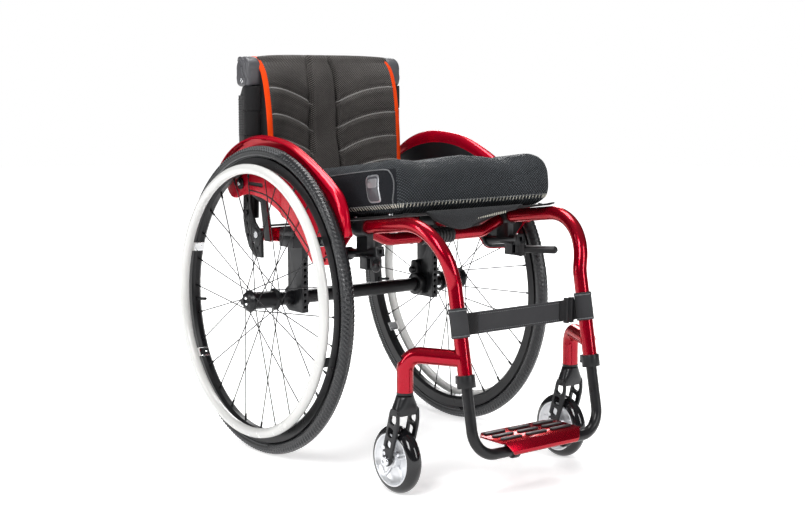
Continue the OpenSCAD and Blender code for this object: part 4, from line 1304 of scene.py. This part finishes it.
def make_castors():
    arm_line = [(-33, 156), (-12, 157), (-4, 130), (2.5, 106), (9.5, 84), (10.5, 62), (5.5, 50), (-5, 50),
            (-12, 59),
                (-17, 80), (-26, 104), (-33.5, 130)]
    windows = [[(-28, 146), (-13.5, 147), (-9.5, 130), (-23.5, 125), (-29, 134)],
               [(-21.5, 119), (-8, 123), (-3.5, 106), (-16, 101.5)],
               [(-15, 96), (-2.5, 99.5), (3, 86), (-10, 80)]]
    for word, side in SIDES:
        def at(x, y, z):
            return mm(side * (197 + x), -378.5 + y, z)

        def crown_ring(z, a, b, y, power):
            return [at(u * 1000, y + v * 1000, z) for u, v in oval(a / 1000, b / 1000, 44, power)]

        arms = Shape()
        for s in (-1, 1):
            x0, x1 = (18.5, 24.2) if s > 0 else (-24.2, -18.5)
            arms.loft(bevelled_plate(rounded(arm_line, 9, 6), x0, x1, at, 1.5, 3))
        fork = arms.make("fork_arms_" + word, "anodised", "fork_" + word, "black_metal",
                ["castor_fork_" + word])
        tools = [[[at(x, *p) for p in rounded(w, 4.5, 5)] for x in (-30, 30)] for w in windows]
        cut(fork, tools)
        shade(fork.data, 40)
        # Crown: from a round neck under the stem out to both arms
        crown = Shape()
        rings = []
        for z, a, b, y, p in ((177.2, 13.5, 13.5, -22.5, 2), (176.4, 15.2, 15.2, -22.5, 2), (172, 16.6, 15.4,
                -22.5, 2.1),
                              (167, 18.6, 15.4, -22.4, 2.3), (162, 20.6, 15.2, -22.2, 2.6), (157, 22.4, 14.6,
                                      -22, 3.0),
                              (152, 23.6, 13.6, -21.8, 3.6), (147, 24.3, 12.2, -21.2, 4.4), (143.5, 24.2,
                                      11.4, -21, 5)):
            rings.append(crown_ring(z, a, b, y, p))
        for z, a, b, y, p in ((142.3, 17.6, 10.6, -21, 5), (148, 17.2, 11, -21.5, 4)):
            rings.append(crown_ring(z, a, b, y, p))
        crown.loft(rings)
        crown.make("fork_crown_" + word, "anodised", "fork_" + word, "black_metal", sharp=55)
        metal = Shape()
        turned([(23.8, 8.4), (25.0, 8.6), (28.6, 8.2), (29.4, 7.4), (29.4, 4.6), (27.8, 4.2), (27.8, 0.01)],
               (197, -378.5, 60), side, 30, shape=metal)
        turned([(-23.8, 8.4), (-25.0, 8.6), (-28.6, 8.2), (-29.4, 7.4), (-29.4, 4.6), (-27.8, 4.2), (-27.8,
                0.01)],
               (197, -378.5, 60), side, 30, shape=metal)
        turned([(-24, 4.0), (24, 4.0)], (197, -378.5, 60), side, 20, shape=metal)
        for y, z in ((4.5, 73), (6, 83)):
            for s in (-1, 1):
                turned([(s * 23.9, 3.4), (s * 24.8, 3.2), (s * 24.8, 1.6), (s * 24.3, 1.4), (s * 24.3, 0.01)],
                       (197, -378.5 + y, z), side, 16, shape=metal)
        for s in (-1, 1):
            turned([(s * 18.4, 7.5), (s * 16.2, 7.5), (s * 15.0, 6.6), (s * 15.0, 4.2)], (197, -378.5, 60),
                    side, 24, shape=metal)
        metal.make("fork_bolts_" + word, "silver", "fork_" + word, "bearing_steel", sharp=40)
        # Dished polished wheel with five raised ribs
        hub = Shape()
        c = (197, -378.5, 60)
        prof = [(-13.2, 46.8), (-14.6, 46.6), (-14.9, 45.6), (-14.5, 44.2), (-12.2, 42.8), (-8.2, 40.8),
                (-5.4, 36),
                (-3.4, 28), (-2.8, 20), (-3.4, 15.5), (-9.5, 14.4), (-13.6, 13.2), (-14.6, 11.6), (-14.6,
                        8.6), (-13.4, 7.9),
                (-13.4, 5.4)]
        full = prof + [(-x, r) for x, r in reversed(prof)]
        rings = []
        for t in np.linspace(0, 2 * math.pi, 90, endpoint=False):
            rings.append([mm(side * (c[0] + x), c[1] + r * math.cos(t), c[2] + r * math.sin(t)) for x,
                    r in full])
        hub.loft(rings, around=True, along=True)
        for k in range(5):
            a = 2 * math.pi * (k + 0.25) / 5
            for s in (-1, 1):
                path = [mm(side * (c[0] + s * x), c[1] + r * math.cos(a), c[2] + r * math.sin(a))
                        for x, r in ((6.5, 13), (4.6, 19), (4.6, 27), (6.2, 35), (8.6, 40))]
                hub.sweep(path, oval(0.0032, 0.0022, 10, 2.6), (s * side, 0, 0))
        hub.make("castor_wheel_" + word, "dish", "castor_" + word, "bare_aluminium", ["castor_hub_" + word],
                sharp=40)


make_castors()
make_guards()
make_tyres()
make_heads()
make_details()
for base, look, width in (("axle_stem", "anodised", 1.2), ("back_bracket", "anodised", 0.8),
                          ("lock_mount", "anodised", 0.9)):
    for word, side in SIDES:
        soften(base + "_" + word, look, width)
for name, look, width in (("axle_clamps", "black", 1.0), ("tube_collars", "plastic", 0.8), ("footplate",
        "red", 0.7),
                          ("footplate_pads", "rubber", 1.0), ("footplate_clamps", "plastic", 0.9),
                          ("strap_buckles", "plastic", 0.6)):
    soften(name, look, width)
# The saddles of the guard holders are painted like the tube that they sit on
holders = soften("guard_holders", "plastic", 0.8)
holders.data.materials.append(M["red"])
for p in holders.data.polygons:
    if p.center.z < 0.440:
        p.material_index = 1
